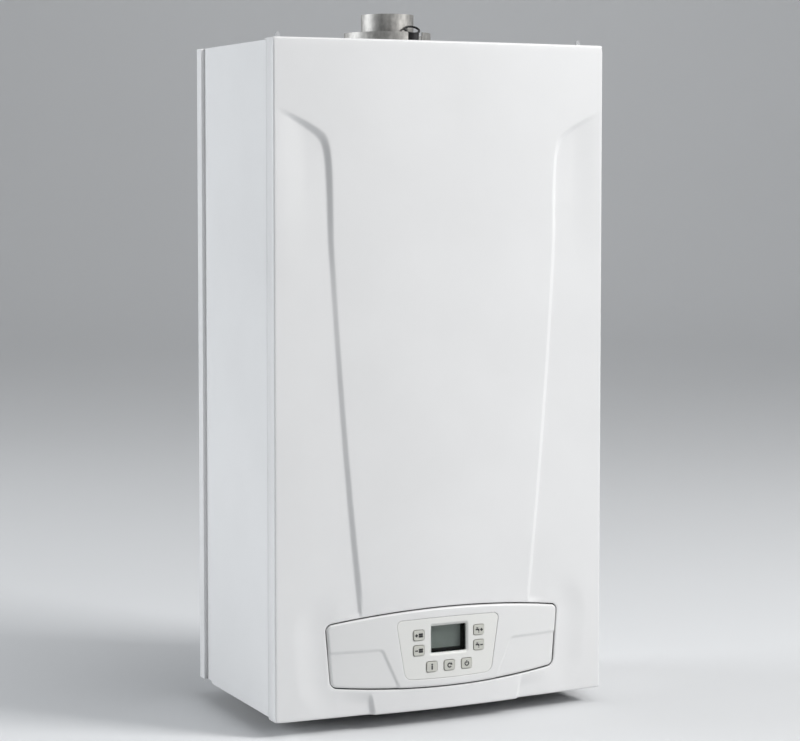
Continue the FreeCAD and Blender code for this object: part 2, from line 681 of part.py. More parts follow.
def control_board():
    """Circuit board with the key switches, relays, transformer and terminal blocks."""
    board = box("board", ("-126", "126"), ("-board_face", "-board_face + board_thick"), ("14", "94"))
    pieces = [board]
    for x, z, _ in button_places():
        pieces.append(box("switch", (f"{x} - 3", f"{x} + 3"), ("-switch_face", "-board_face + 0.5"),
                          (f"{z} - 3", f"{z} + 3")))
    rear = "-board_face + board_thick - 0.3"
    for x in (-100, -78, -56):
        pieces.append(box("relay", (f"{x} - 8", f"{x} + 8"), (rear, "-203"), ("60", "82")))
    pieces.append(box("transformer", ("62", "104"), (rear, "-190"), ("42", "78")))
    for x in range(-100, 101, 40):
        pieces.append(box("terminal", (f"{x} - 16", f"{x} + 16"), (rear, "-208"), ("17", "29")))
    pieces.append(rod("capacitor", "7", "y", (rear, "-198"), ("30", "65")))
    pieces.append(rod("capacitor", "7", "y", (rear, "-198"), ("10", "65")))
    node(fuse("board_whole", *pieces), "control_board")


def console_screws():
    """Screws that hold the control box's ears to the side panels."""
    screws = []
    for side in (-1, 1):
        head = rod("screw_head", "3.6", "y", ("-212", "-panel_front"), (f"{side} * 192", "70"))
        shank = rod("screw_shank", "1.95", "y", ("-panel_front - 1", "-202"), (f"{side} * 192", "70"))
        slot = box("screw_slot", (f"{side} * 192 - 3", f"{side} * 192 + 3"), ("-213", "-211"),
                   ("69.5", "70.5"))
        screws.append(cut("screw", fuse("screw_body", head, shank), slot))
    node(group("screw_pair", *screws), "console_screws")


# ---------------------------------------------------------------- sealed chamber
def chamber():
    """Sheet chamber around the burner, exchanger and fan, open at its front, with a rim for its lid."""
    half, front = "chamber_half", "-chamber_front"
    low = box("low_room", (f"-{half}", half), (front, "-chamber_back"), ("chamber_low", "chamber_high"))
    deep = box("deep_room", (f"-{half}", half), (front, "-chamber_deep"),
               ("chamber_step", "chamber_high"))
    low_in = box("low_inside", (f"-{half} + skin", f"{half} - skin"),
                 (f"{front} + skin", "-chamber_back - skin"), ("chamber_low + skin", "chamber_high - skin"))
    deep_in = box("deep_inside", (f"-{half} + skin", f"{half} - skin"),
                  (f"{front} + skin", "-chamber_deep - skin"), ("chamber_step + skin", "chamber_high - skin"))
    mouth = box("mouth", (f"-{half} + 12", f"{half} - 12"), (f"{front} - 1", f"{front} + 2"),
                ("chamber_low + 12", "chamber_high - 12"))
    holes = [
        rod("flue_hole", "collar_radius - 0.5", "z", ("chamber_high - 3", "chamber_high + 3"), ("0", "-flue_y")),
        rod("flow_hole", "pipe_radius + 0.5", "z", ("280", "290"), ("-flow_x", "-tail_y")),
        rod("return_hole", "pipe_radius + 0.5", "z", ("280", "290"), ("pump_out_x", "-tail_y")),
        rod("gas_hole", "7.5", "z", ("280", "290"), ("20", "-manifold_y")),
    ]
    shell = cut("chamber_cut", fuse("chamber_body", low, deep), low_in, deep_in, mouth, *holes)
    node(shell, "chamber_shell")

    seal = body("lid_seal")
    ring = sketch(seal, "seal_ring", "XZ_Plane", "chamber_front")
    outer = ("-chamber_half + 0.5", "chamber_half - 0.5"), ("chamber_low + 0.5", "chamber_high - 0.5")
    inner = ("-chamber_half + 12", "chamber_half - 12"), ("chamber_low + 12", "chamber_high - 12")
    rectangle(ring, *outer)
    rectangle(ring, *inner)
    pad(seal, ring, "2")

    lid = body("chamber_lid")
    face = sketch(lid, "lid_face", "XZ_Plane", "chamber_front + 2")
    rectangle(face, *outer)
    circle(face, ("0", "glass_z"), "glass_radius - 4")
    pad(lid, face, "skin")
    rib = sketch(lid, "lid_rib", "XZ_Plane", "lid_front - 0.5")
    for span in ((("-120", "-108"), ("430", "690")), (("108", "120"), ("430", "690"))):
        rectangle(rib, *span)
    pad(lid, rib, "2")

    glass = body("sight_glass")
    pane = sketch(glass, "glass_disc", "XZ_Plane", "lid_front")
    circle(pane, ("0", "glass_z"), "glass_radius")
    pad(glass, pane, "3")


# ---------------------------------------------------------------- burner and primary exchanger
def blade_centres():
    """Middles of the burner blades across the boiler."""
    pitch = size("blade_pitch")
    return [pitch * i for i in range(-5, 6)]


def burner_parts():
    """Row of burner blades on two rails, and the manifold with one nozzle under each blade."""
    rails = [box("rail", ("-104", "104"), (y, f"{y} + 3"), ("burner_low + 6", "burner_low + 20"))
             for y in ("-stack_front", "-stack_back - 3")]
    blades, nozzles = [], []
    for x in blade_centres():
        blades.append(box("blade", (f"{x} - blade_wide / 2", f"{x} + blade_wide / 2"),
                          ("-stack_front + 1", "-stack_back - 1"), ("burner_low", "burner_high")))
        nozzles.append(rod("nozzle", "3", "z", ("manifold_z", "manifold_z + 12"), (f"{x}", "-manifold_y")))
    throats = [rod("throat", "3.2", "z", ("burner_low - 1", "burner_low + 25"), (f"{x}", "-manifold_y"))
               for x in blade_centres()]
    ports = [box("flame_port", ("-100", "100"), (f"-stack_front + {8 + 8 * i}", f"-stack_front + {10 + 8 * i}"),
                 ("burner_high - 4", "burner_high + 1")) for i in range(10)]
    node(cut("burner_cut", fuse("burner_body", *rails, *blades), *throats, *ports), "burner")
    tube = rod("manifold_tube", "manifold_radius", "x", ("-100", "100"), ("-manifold_y", "manifold_z"))
    bore = rod("manifold_bore", "manifold_radius - 1.5", "x", ("-98", "98"), ("-manifold_y", "manifold_z"))
    jets = [rod("jet", "0.8", "z", ("manifold_z", "manifold_z + 13"), (f"{x}", "-manifold_y"))
            for x in blade_centres()]
    feed = rod("feed", "5", "z", ("manifold_z - 8", "manifold_z"), ("20", "-manifold_y"))
    node(cut("manifold_cut", fuse("manifold_body", tube, *nozzles), bore, feed, *jets), "burner_manifold")


def electrodes():
    """Two spark electrodes and one flame sensor, each a ceramic with a wire."""
    rods = []
    for x in (-26, -14, 44):
        ceramic = rod("ceramic", "3.5", "y", ("-200", "-178"), (f"{x}", "361"))
        wire = rod("wire", "1.2", "y", ("-179", "-150"), (f"{x}", "361"))
        rods.append(fuse("electrode", ceramic, wire))
    node(group("electrode_set", *rods), "electrodes")


def combustion_chamber():
    """Steel box lined with ceramic board, open at its top and bottom, with a sight hole."""
    outer = box("liner_outer", ("-stack_half", "stack_half"), ("-stack_front", "-stack_back"),
                ("board_low", "board_high"))
    inner = box("liner_inner", ("-stack_half + liner", "stack_half - liner"),
                ("-stack_front + liner", "-stack_back - liner"), ("board_low - 1", "board_high + 1"))
    hole = rod("sight_hole", "8", "y", ("-stack_front - 1", "-stack_front + liner + 1"), ("0", "glass_z"))
    node(cut("liner_cut", outer, inner, hole), "combustion_chamber")


def primary_exchanger():
    """Finned copper block: water tubes along X through a row of fins, with a header at each end."""
    middle_z = "(fin_low + fin_high) / 2"
    depth = ("-stack_front", "-stack_back")
    pieces = []
    half, pitch = size("stack_half"), size("fin_pitch")
    count = int(2 * (half - 4) / pitch)
    for i in range(count + 1):
        x = -half + 4 + i * pitch
        pieces.append(box("fin", (f"{x}", f"{x} + fin_thick"), depth, ("fin_low", "fin_high")))
    for side in (-1, 1):
        pieces.append(box("end_plate", sides("stack_half - 2", "stack_half", side), depth,
                          ("fin_low", "fin_high")))
        pieces.append(box("header", sides("stack_half - 1", "stack_half + 13", side), ("-182", "-82"),
                          (f"{middle_z} - 12", f"{middle_z} + 12")))
    bores = []
    for i in range(5):
        y = f"(-stack_front + 12 + {17 * i})"
        pieces.append(rod("tube", "water_tube", "x", ("-stack_half", "stack_half"), (y, middle_z)))
        bores.append(rod("tube_bore", "water_tube - 1", "x", ("-stack_half - 6", "stack_half + 6"),
                         (y, middle_z)))
    node(cut("exchanger_cut", fuse("exchanger_body", *pieces), *bores), "primary_exchanger")


def tapered(low_x, low_y, low_z, high_x, high_y, high_z, inset):
    """Solid between a rectangle below and a rectangle above, both inset by the same distance."""
    wires = []
    for (x0, x1), (y0, y1), z in ((low_x, low_y, low_z), (high_x, high_y, high_z)):
        x0, x1, y0, y1 = x0 + inset, x1 - inset, y0 + inset, y1 - inset
        corners = [Vector(x0, y0, z), Vector(x1, y0, z), Vector(x1, y1, z), Vector(x0, y1, z)]
        wires.append(Part.makePolygon(corners + corners[:1]))
    return Part.makeLoft(wires, True, True)


def flue_hood():
    """Hood that gathers the burnt gas and leads it up behind the fan to the fan's inlet."""
    half, front, back = size("stack_half"), -size("stack_front"), -size("stack_back")
    base, bend, top = size("hood_base"), size("hood_bend"), size("hood_top")
    duct_x = (size("fan_x") - 48, size("fan_x") + 48)
    duct_y, duct_top = (-size("fan_back") + 0.5, -27), size("fan_z") + 46

    def bulk(inset):
        lower = Part.makeBox(2 * (half - inset), back - front - 2 * inset, bend - base,
                             Vector(-half + inset, front + inset, base))
        cone = tapered((-half, half), (front, back), bend, duct_x, duct_y, top, inset)
        duct = Part.makeBox(duct_x[1] - duct_x[0] - 2 * inset, duct_y[1] - duct_y[0] - 2 * inset,
                            duct_top - top - inset, Vector(duct_x[0] + inset, duct_y[0] + inset, top))
        return lower.fuse([cone, duct])

    inlet = Part.makeCylinder(24, 10, Vector(size("fan_x"), duct_y[0] - 5, size("fan_z")), Vector(0, 1, 0))
    feature("flue_hood", bulk(0).cut([bulk(1), inlet]))


# ---------------------------------------------------------------- fan and flue
def fan_parts():
    """Scroll housing with its outlet neck, bladed impeller on its shaft, and the motor."""
    centre = ("fan_x", "fan_z")
    depth = ("-fan_front", "-fan_back")
    scroll = rod("scroll", "fan_radius", "y", depth, centre)
    outlet = box("outlet", ("-neck_radius", "fan_x"), depth, ("fan_z", "fan_z + fan_radius"))
    neck = rod("neck", "neck_radius", "z", ("fan_z + 20", "716.2"), ("0", "-flue_y"))
    inside = ("-fan_front + tube_wall", "-fan_back - tube_wall")
    scroll_in = rod("scroll_in", "fan_radius - tube_wall", "y", inside, centre)
    outlet_in = box("outlet_in", ("-neck_radius + tube_wall", "fan_x"), inside,
                    ("fan_z", "fan_z + fan_radius - tube_wall"))
    neck_in = rod("neck_in", "neck_radius - tube_wall", "z", ("fan_z + 20", "717"), ("0", "-flue_y"))
    eye = rod("eye", "22", "y", ("-fan_back - 3", "-fan_back + 1"), centre)
    shaft_hole = rod("shaft_hole", "6", "y", ("-fan_front - 1", "-fan_front + 3"), centre)
    scoop = box("neck_gap", ("-neck_radius - 1", "neck_radius + 1"), ("-fan_back", "-fan_back + 10"),
                ("fan_z", "fan_z + fan_radius"))
    housing = cut("fan_cut", fuse("fan_body", scroll, outlet, neck), scroll_in, outlet_in, neck_in,
                  eye, shaft_hole, scoop)
    node(housing, "fan_housing")

    wheel = body("fan_impeller")
    disc = sketch(wheel, "disc", "XZ_Plane", "-1.5")
    circle(disc, ("0", "0"), "rotor_radius")
    pad(wheel, disc, "1.5")
    shaft = sketch(wheel, "shaft", "XZ_Plane", "-36")
    circle(shaft, ("0", "0"), "fan_shaft")
    pad(wheel, shaft, "76")
    blade = sketch(wheel, "blade", "XZ_Plane", "-36")
    rectangle(blade, ("rotor_radius - 13", "rotor_radius - 0.3"), ("-0.6", "0.6"))
    first = pad(wheel, blade, "36")
    around(wheel, [first], "Y_Axis", 24)
    placed(wheel, "fan_x", "-fan_front + 6", "fan_z")

    can = rod("motor_can", "30", "y", ("-148", "-fan_front"), centre)
    boss = rod("motor_boss", "9", "y", ("-151", "-147"), centre)
    bore = rod("motor_bore", "fan_shaft + shaft_play", "y", ("-155", "-100"), centre)
    slots = [box("vent", ("fan_x - 32", "fan_x + 32"), (f"-142 + {7 * i}", f"-139 + {7 * i}"),
                 ("fan_z - 6", "fan_z + 6")) for i in range(4)]
    ring = rod("motor_core", "25", "y", ("-146", "-fan_front - 2"), centre)
    vents = cut("vent_ring", fuse("vents", *slots), ring)
    node(cut("motor_cut", fuse("motor_body", can, boss), bore, vents), "fan_motor")


def flue_parts():
    """Inner flue spigot, outer air collar on its flange, and the plug of the sampling point."""
    inner = "spigot_radius - tube_wall"
    tube = rod("spigot_tube", "spigot_radius", "z", ("spigot_low", "spigot_top"), ("0", "-flue_y"))
    step = rod("spigot_step", "spigot_radius + 3", "z", ("spigot_low", "spigot_low + 2"), ("0", "-flue_y"))
    bore = rod("spigot_bore", inner, "z", ("spigot_low - 1", "spigot_top + 1"), ("0", "-flue_y"))
    node(cut("spigot_cut", fuse("spigot_body", tube, step), bore), "flue_spigot")

    collar = body("flue_collar")
    base = sketch(collar, "base", "XY_Plane")
    circle(base, ("0", "0"), "collar_radius + 9")
    circle(base, ("0", "0"), "spigot_radius + collar_play")
    pad(collar, base, "1.5")
    wall = sketch(collar, "wall", "XY_Plane")
    circle(wall, ("0", "0"), "collar_radius")
    circle(wall, ("0", "0"), "collar_radius - tube_wall")
    pad(collar, wall, "collar_top - top_panel_z - plate")
    intake = sketch(collar, "intake", "XY_Plane", "-1")
    circle(intake, ("0", "39.5"), "6.5")
    first = pocket(collar, intake, "4", reverse=True)
    around(collar, [first], "Z_Axis", 12)
    notch = sketch(collar, "notch", "XZ_Plane", "30")
    rectangle(notch, ("3", "23"), ("6", "30"))
    pocket(collar, notch, "25", reverse=True)
    placed(collar, "0", "-flue_y", "top_panel_z + plate")

    sampling_plug()


def sampling_plug():
    """Rubber plug of the flue's sampling point with its pull ring and clip."""
    collar_foot = 1.5
    base_z = size("top_panel_z + plate") + collar_foot
    x, y = size("plug_x"), -size("flue_y + plug_reach")

    def drum(radius, height, level):
        return Part.makeCylinder(size(radius), size(height), Vector(x, y, base_z + level))

    def loop(radius, wire, across, level, facing):
        return Part.makeTorus(size(radius), size(wire), Vector(across, y, base_z + size(level)), facing)

    plug = drum("plug_radius", "plug_height", 0)
    head = drum("plug_head", "head_height", size("head_base"))
    ring = loop("ring_radius", "ring_wire", x, "ring_level", Vector(-0.08, -0.51, 0.85))
    clip = loop("clip_radius", "clip_wire", x - size("clip_aside"), "clip_level", Vector(-0.3, -0.95, 0))
    feature("sampling_cap", plug.fuse([head, ring, clip]))


def pressure_switch():
    """Round air pressure switch with its two hose nozzles and bracket."""
    drum = rod("drum", "28", "y", ("-160", "-140"), ("-130", "650"))
    rim = rod("rim", "31", "y", ("-152", "-148"), ("-130", "650"))
    nozzles = [rod("nozzle", "3", "y", ("-176", "-159"), (x, "650")) for x in ("-138", "-122")]
    bracket = box("bracket", ("-183.5", "-152"), ("-150", "-148"), ("635", "665"))
    node(fuse("switch_body", drum, rim, *nozzles, bracket), "air_pressure_switch")


# ---------------------------------------------------------------- water and gas
def bent_path(points, radius):
    """Straight runs joined by tangent arcs of one radius."""
    edges, start = [], points[0]
    for i in range(1, len(points) - 1):
        here, before, after = points[i], points[i - 1], points[i + 1]
        back, on = (before - here).normalize(), (after - here).normalize()
        half_turn = (math.pi - back.getAngle(on)) / 2
        reach = radius * math.tan(half_turn)
        enter, leave = here + back * reach, here + on * reach
        bisector = (back + on).normalize()
        middle = here + bisector * (radius / math.cos(half_turn) - radius)
        edges += [Part.makeLine(start, enter), Part.Arc(enter, middle, leave).toShape()]
        start = leave
    edges.append(Part.makeLine(start, points[-1]))
    return Part.Wire(edges)


def tube(points, radius, wall, bend):
    """Bent tube along a path."""
    path = bent_path(points, bend)
    way = (points[1] - points[0]).normalize()
    solids = []
    for each in (radius, radius - wall):
        ring = Part.Wire(Part.makeCircle(each, points[0], way))
        solids.append(path.makePipeShell([ring], True, False))
    return solids[0].cut(solids[1])


def water_pipes():
    """Flow and return pipes between the primary exchanger and the groups below."""
    high = size("(fin_low + fin_high) / 2")
    tail_y, end_x = -size("tail_y"), size("stack_half + 13")
    runs = (("flow_pipe", -size("flow_x"), size("block_high"), -end_x),
            ("return_pipe", size("pump_out_x"), size("pump_out_z"), end_x))
    for label, x, low, end in runs:
        points = [Vector(x, tail_y, low), Vector(x, tail_y, high), Vector(end, tail_y, high)]
        feature(label, tube(points, size("pipe_radius"), size("pipe_wall"), 16))


def gas_parts():
    """Gas valve with two coils, the pipe from its tail, and the riser to the manifold."""
    tail_y, wall = -size("tail_y"), 1
    points = [Vector(0, tail_y, 10), Vector(0, tail_y, 52), Vector(0, -134, 92), Vector(0, -134, 195)]
    inlet = tube(points, 7.5, wall, 24)
    fitting = Part.makeCylinder(size("tail_large"), 30, Vector(0, tail_y, size("tail_low")))
    bore = Part.makeCylinder(6.5, 30, Vector(0, tail_y, size("tail_low")))
    feature("gas_pipe", inlet.fuse(fitting.cut(bore)))
    riser_low, riser_high = 262, size("manifold_z - manifold_radius")
    riser = Part.makeCylinder(7, riser_high - riser_low, Vector(20, -size("manifold_y"), riser_low))
    feature("gas_riser", riser.cut(Part.makeCylinder(5.5, 60, Vector(20, -size("manifold_y"), 240))))

    block = box("valve_block", ("-38", "42"), ("-168", "-112"), ("195", "262"))
    coils = [rod("coil", "14", "y", ("-194", "-167"), (x, "228")) for x in ("-18", "22")]
    caps = [rod("coil_cap", "6", "y", ("-198", "-193"), (x, "228")) for x in ("-18", "22")]
    regulator = rod("regulator", "11", "x", ("41", "58"), ("-140", "228"))
    inlet_bore = rod("inlet_bore", "6.5", "z", ("194", "215"), ("0", "-134"))
    outlet_bore = rod("outlet_bore", "5.5", "z", ("240", "263"), ("20", "-manifold_y"))
    shaped = fuse("valve_body", block, *coils, *caps, regulator)
    node(cut("valve_cut", shaped, inlet_bore, outlet_bore), "gas_valve")


def tail_pieces(stem, x, radius):
    """One tail: threaded end, thinner shank with spanner flats, and its bore."""
    thread = rod(stem, radius, "z", ("tail_low", "tail_low + thread_length"), (x, "-tail_y"))
    shank = rod(stem + "_shank", f"{radius} - shank_step", "z",
                ("tail_low + thread_length - 1", "block_low + 1"), (x, "-tail_y"))
    inner = rod(stem + "_bore", f"{radius} - 3", "z", ("tail_low - 1", "block_low + 20"), (x, "-tail_y"))
    nut = box(stem + "_flat", (f"{x} - {radius} - 1.5", f"{x} + {radius} + 1.5"),
              (f"-tail_y - {radius} + 1", f"-tail_y + {radius} - 1"), ("26", "38"))
    return [thread, shank, nut], [inner]


def port_places(side):
    """Middles of the two heat exchanger ports at one end."""
    return [(f"{side} * port_x", f"-plate_y + {step} * port_y") for step in (-1, 1)]


def seal_seats(side):
    """Bores in a group's top face below the heat exchanger's ports, and its screw hole."""
    bores = [rod("port_bore", "port_radius - 2", "z", ("block_high - 30", "block_high + 1"), place)
             for place in port_places(side)]
    bores.append(rod("stud_hole", "3.1", "z", ("block_high - 16", "block_high + 1"),
                     (f"{side} * 103", "-plate_y")))
    return bores


def flow_group():
    """Left group: heating flow and hot water tails, and the seat of the three-way valve."""
    depth = ("-block_front", "-block_back")
    block = box("flow_block", ("-180", "-42"), depth, ("block_low", "block_high"))
    large, large_bore = tail_pieces("flow_tail", "-2 * tail_pitch", "tail_large")
    small, small_bore = tail_pieces("hot_tail", "-tail_pitch", "tail_small")
    valve = rod("valve_bore", "11", "z", ("block_low + 10", "block_high - 8"), ("-2 * tail_pitch", "-tail_y"))
    guide = rod("guide_bore", "2.55", "z", ("block_high - 10", "block_high + 1"),
                ("-2 * tail_pitch", "-tail_y"))
    entry = rod("entry", "7", "z", ("100", "block_high + 1"), ("-flow_x", "-tail_y"))
    cross = rod("cross", "6", "x", ("-flow_x", "-2 * tail_pitch"), ("-tail_y", "108"))
    whole = fuse("flow_body", block, *large, *small)
    node(cut("flow_cut", whole, valve, guide, entry, cross, *large_bore, *small_bore, *seal_seats(-1)),
         "flow_group")


def valve_parts():
    """Spindle of the three-way valve with its two discs, and the motor that pushes it."""
    place = ("-2 * tail_pitch", "-tail_y")
    stem = rod("stem", "2.5", "z", ("78", "150"), place)
    discs = [rod("disc", "9.5", "z", (low, f"{low} + 4"), place) for low in ("88", "108")]
    node(fuse("spindle_body", stem, *discs), "valve_spindle")
    can = rod("actuator_can", "18", "z", ("block_high", "190"), place)
    shoulder = box("actuator_box", ("-148", "-112"), ("-122", "-82"), ("150", "186"))
    bore = rod("actuator_bore", "2.55", "z", ("block_high - 1", "168"), place)
    node(cut("actuator_cut", fuse("actuator_body", can, shoulder), bore), "valve_actuator")


def return_group():
    """Right group: cold water and heating return tails, turbine bearings and the valve bosses."""
    depth = ("-block_front", "-block_back")
    block = box("return_block", ("42", "168"), depth, ("block_low", "block_high"))
    large, large_bore = tail_pieces("return_tail", "2 * tail_pitch", "tail_large")
    small, small_bore = tail_pieces("cold_tail", "tail_pitch", "tail_small")
    riser = rod("pump_riser", "13", "z", ("block_high - 1", "158"), ("125", "-tail_y"))
    riser_bore = rod("pump_riser_bore", "10", "z", ("70", "159"), ("125", "-tail_y"))
    relief = rod("relief_boss", "11", "y", ("-132", "-block_front + 1"), ("97.5", "96"))
    relief_bore = rod("relief_bore", "3.05", "y", ("-133", "-100"), ("97.5", "96"))
    fill = rod("fill_boss", "9", "z", ("44", "block_low + 1"), ("97.5", "-tail_y"))
    fill_bore = rod("fill_bore", "3.05", "z", ("43", "80"), ("97.5", "-tail_y"))
    whole = fuse("return_body", block, *large, *small, riser, relief, fill)
    shaped = cut("return_cut", whole, riser_bore, relief_bore, fill_bore, *large_bore, *small_bore,
                 *seal_seats(1))
    webs = []
    for low in ("16", "40"):
        webs.append(box("web", ("tail_pitch - 8", "tail_pitch + 8"), ("-tail_y - 0.8", "-tail_y + 0.8"),
                        (low, f"{low} + 3")))
        webs.append(rod("hub", "3", "z", (low, f"{low} + 3"), ("tail_pitch", "-tail_y")))
    bearing = rod("bearing", "1.55", "z", ("10", "50"), ("tail_pitch", "-tail_y"))
    node(fuse("return_whole", shaped, cut("bearing_webs", fuse("webs", *webs), bearing)), "return_group")


def turbine():
    """Bladed rotor in the cold water tail that measures the draw-off."""
    wheel = body("flow_turbine")
    hub = sketch(wheel, "hub", "XY_Plane", "20")
    circle(hub, ("0", "0"), "2.6")
    pad(wheel, hub, "18")
    axle = sketch(wheel, "axle", "XY_Plane", "16.5")
    circle(axle, ("0", "0"), "1.5")
    pad(wheel, axle, "26")
    blade = sketch(wheel, "blade", "XY_Plane", "22")
    rectangle(blade, ("1", "6.9"), ("-0.5", "0.5"))
    first = pad(wheel, blade, "12")
    around(wheel, [first], "Z_Axis", 6)
    placed(wheel, "tail_pitch", "-tail_y")


def knob(label, radius, height, grips):
    """Hand knob with grip flutes, its axis along Z and its base at zero."""
    part = body(label)
    disc = sketch(part, "disc", "XY_Plane")
    circle(disc, ("0", "0"), radius)
    pad(part, disc, height)
    flute = sketch(part, "flute", "XY_Plane", "-1")
    circle(flute, (radius, "0"), "2")
    first = pocket(part, flute, f"{height} + 2", reverse=True)
    around(part, [first], "Z_Axis", grips)
    return part


def hand_valves():
    """Knobs of the safety valve and of the filling tap, each on its own stem."""
    relief = knob("safety_valve_knob", "13", "12", 10)
    stem = sketch(relief, "stem", "XY_Plane", "-26")
    circle(stem, ("0", "0"), "3")
    pad(relief, stem, "28")
    relief.Placement = Placement(Vector(97.5, -132.5, 96), Rotation(Vector(1, 0, 0), 90))
    fill = knob("filling_tap_knob", "13", "24", 8)
    stem = sketch(fill, "stem", "XY_Plane", "20")
    circle(stem, ("0", "0"), "3")
    pad(fill, stem, "56")
    placed(fill, "97.5", "-tail_y", "-14")


def pipe_bracket():
    """Sheet that holds the five tails in a row below the groups, folded up along the wall."""
    plate = body("pipe_bracket")
    face = sketch(plate, "shelf", "XY_Plane", "20")
    rectangle(face, ("-178", "178"), ("-124", "-plate - 0.5"))
    for place, radius in tails():
        circle(face, (place, "-tail_y"), f"{radius} + 0.4")
    circle(face, ("97.5", "-tail_y"), "4")
    pad(plate, face, "2")
    fold = sketch(plate, "fold", "XZ_Plane", "plate + 0.5")
    rectangle(fold, ("-178", "178"), ("20", "50"))
    pad(plate, fold, "2")


def tails():
    """Place and radius of each threaded tail, left to right."""
    return [("-2 * tail_pitch", "tail_large"), ("-tail_pitch", "tail_small"), ("0", "tail_large"),
            ("tail_pitch", "tail_small"), ("2 * tail_pitch", "tail_large")]


def pump():
    """Circulation pump: volute, motor and the impeller on its shaft."""
    centre = ("pump_x", "pump_z")
    volute = rod("volute", "pump_radius", "y", ("-112", "-76"), centre)
    outlet = rod("outlet", "12", "z", ("pump_z", "pump_out_z"), ("pump_out_x", "-tail_y"))
    foot = box("pump_foot", ("110", "140"), ("-110", "-78"), ("158.4", "pump_z"))
    cavity = rod("cavity", "38", "y", ("-108", "-80"), centre)
    outlet_bore = rod("outlet_bore", "8", "z", ("pump_z + 20", "pump_out_z + 1"), ("pump_out_x", "-tail_y"))
    inlet_bore = rod("inlet_bore", "10", "z", ("158", "190"), ("125", "-tail_y"))
    eye = rod("shaft_eye", "7", "y", ("-113", "-107"), centre)
    whole = fuse("pump_whole", volute, outlet, foot)
    node(cut("pump_cut", whole, cavity, outlet_bore, inlet_bore, eye), "pump_body")

    can = rod("pump_can", "42", "y", ("-motor_front", "-112"), centre)
    terminal = box("terminal_box", ("pump_x - 30", "pump_x + 30"), ("-176", "-130"), ("pump_z + 30", "258"))
    cap = rod("pump_cap", "12", "y", ("-motor_front - 4", "-motor_front + 1"), centre)
    bore = rod("pump_bore", "5.05", "y", ("-180", "-111"), centre)
    ribs = [rod("groove", "43", "y", (f"-180 + {8 * i}", f"-177 + {8 * i}"), centre) for i in range(5)]
    core = rod("core", "40", "y", ("-186", "-112"), centre)
    grooves = cut("grooves", fuse("rings", *ribs), core)
    node(fuse("pump_motor_body", cut("pump_motor_cut", can, bore, grooves), terminal_trim(terminal, bore), cap),
         "pump_motor")

    wheel = body("pump_impeller")
    disc = sketch(wheel, "disc", "XZ_Plane", "0")
    circle(disc, ("0", "0"), "34")
    pad(wheel, disc, "2")
    shaft = sketch(wheel, "shaft", "XZ_Plane", "0")
    circle(shaft, ("0", "0"), "5")
    pad(wheel, shaft, "74")
    vane = sketch(wheel, "vane", "XZ_Plane", "-12")
    rectangle(vane, ("10", "33.5"), ("-1", "1"))
    first = pad(wheel, vane, "12.5")
    around(wheel, [first], "Y_Axis", 7)
    placed(wheel, "pump_x", "-102", "pump_z")


def terminal_trim(terminal, bore):
    """The pump's terminal box without the shaft bore."""
    return cut("terminal_cut", terminal, bore)


def vessel_shape(stem, inset):
    """Oblong with large round corners and soft rims, inset from the vessel's outer face."""
    span_x = (f"-vessel_half + {inset}", f"vessel_half - {inset}")
    span_y = (f"-vessel_front + {inset}", f"-vessel_back - {inset}")
    block = box(stem, span_x, span_y, (f"vessel_low + {inset}", f"vessel_high - {inset}"))
    upright = rounded(stem + "_upright", block, f"vessel_corner - {inset}", runs_along("y"))
    return rounded(stem + "_soft", upright, f"vessel_rim - {inset}", lambda e: e.BoundBox.YLength < 0.1)


def expansion_vessel():
    """Flat pressed vessel behind the chamber, hollow, with a seam around it and its water nozzle."""
    shell = vessel_shape("vessel", "0")
    room = vessel_shape("vessel_room", "vessel_wall")
    middle = "(vessel_front + vessel_back) / 2"
    seam = box("seam", ("-vessel_half - seam_width", "vessel_half + seam_width"),
               (f"-{middle} - vessel_wall", f"-{middle} + vessel_wall"),
               ("vessel_low - seam_width", "vessel_high + seam_width"))
    seam_round = rounded("seam_upright", seam, "vessel_corner + seam_width", runs_along("y"))
    place = ("0", f"-{middle}")
    nozzle = rod("nozzle", "nozzle_radius", "z", ("vessel_low - nozzle_drop", "vessel_low + 5"), place)
    bore = rod("nozzle_bore", "nozzle_radius - 3", "z", ("vessel_low - nozzle_drop - 1", "vessel_low + 6"),
               place)
    node(cut("vessel_cut", fuse("vessel_body", shell, seam_round, nozzle), room, bore), "expansion_vessel")


# ---------------------------------------------------------------- plate heat exchanger
def plate_blank(grow, z, height):
    """Rounded oblong of the plates, grown by a distance."""
    half_x, half_y = size("plate_half_x") + grow, size("plate_half_y") + grow
    block = Part.makeBox(2 * half_x, 2 * half_y, height, Vector(-half_x, -size("plate_y") - half_y, z))
    return block.makeFillet(size("plate_corner") + grow, [e for e in block.Edges if runs_along("z")(e)])


def port_cylinders(radius, low, height):
    """One cylinder through each of the four ports."""
    places = [(size(x), size(y)) for side in (-1, 1) for x, y in port_places(side)]
    return [Part.makeCylinder(radius, height, Vector(x, y, low)) for x, y in places]


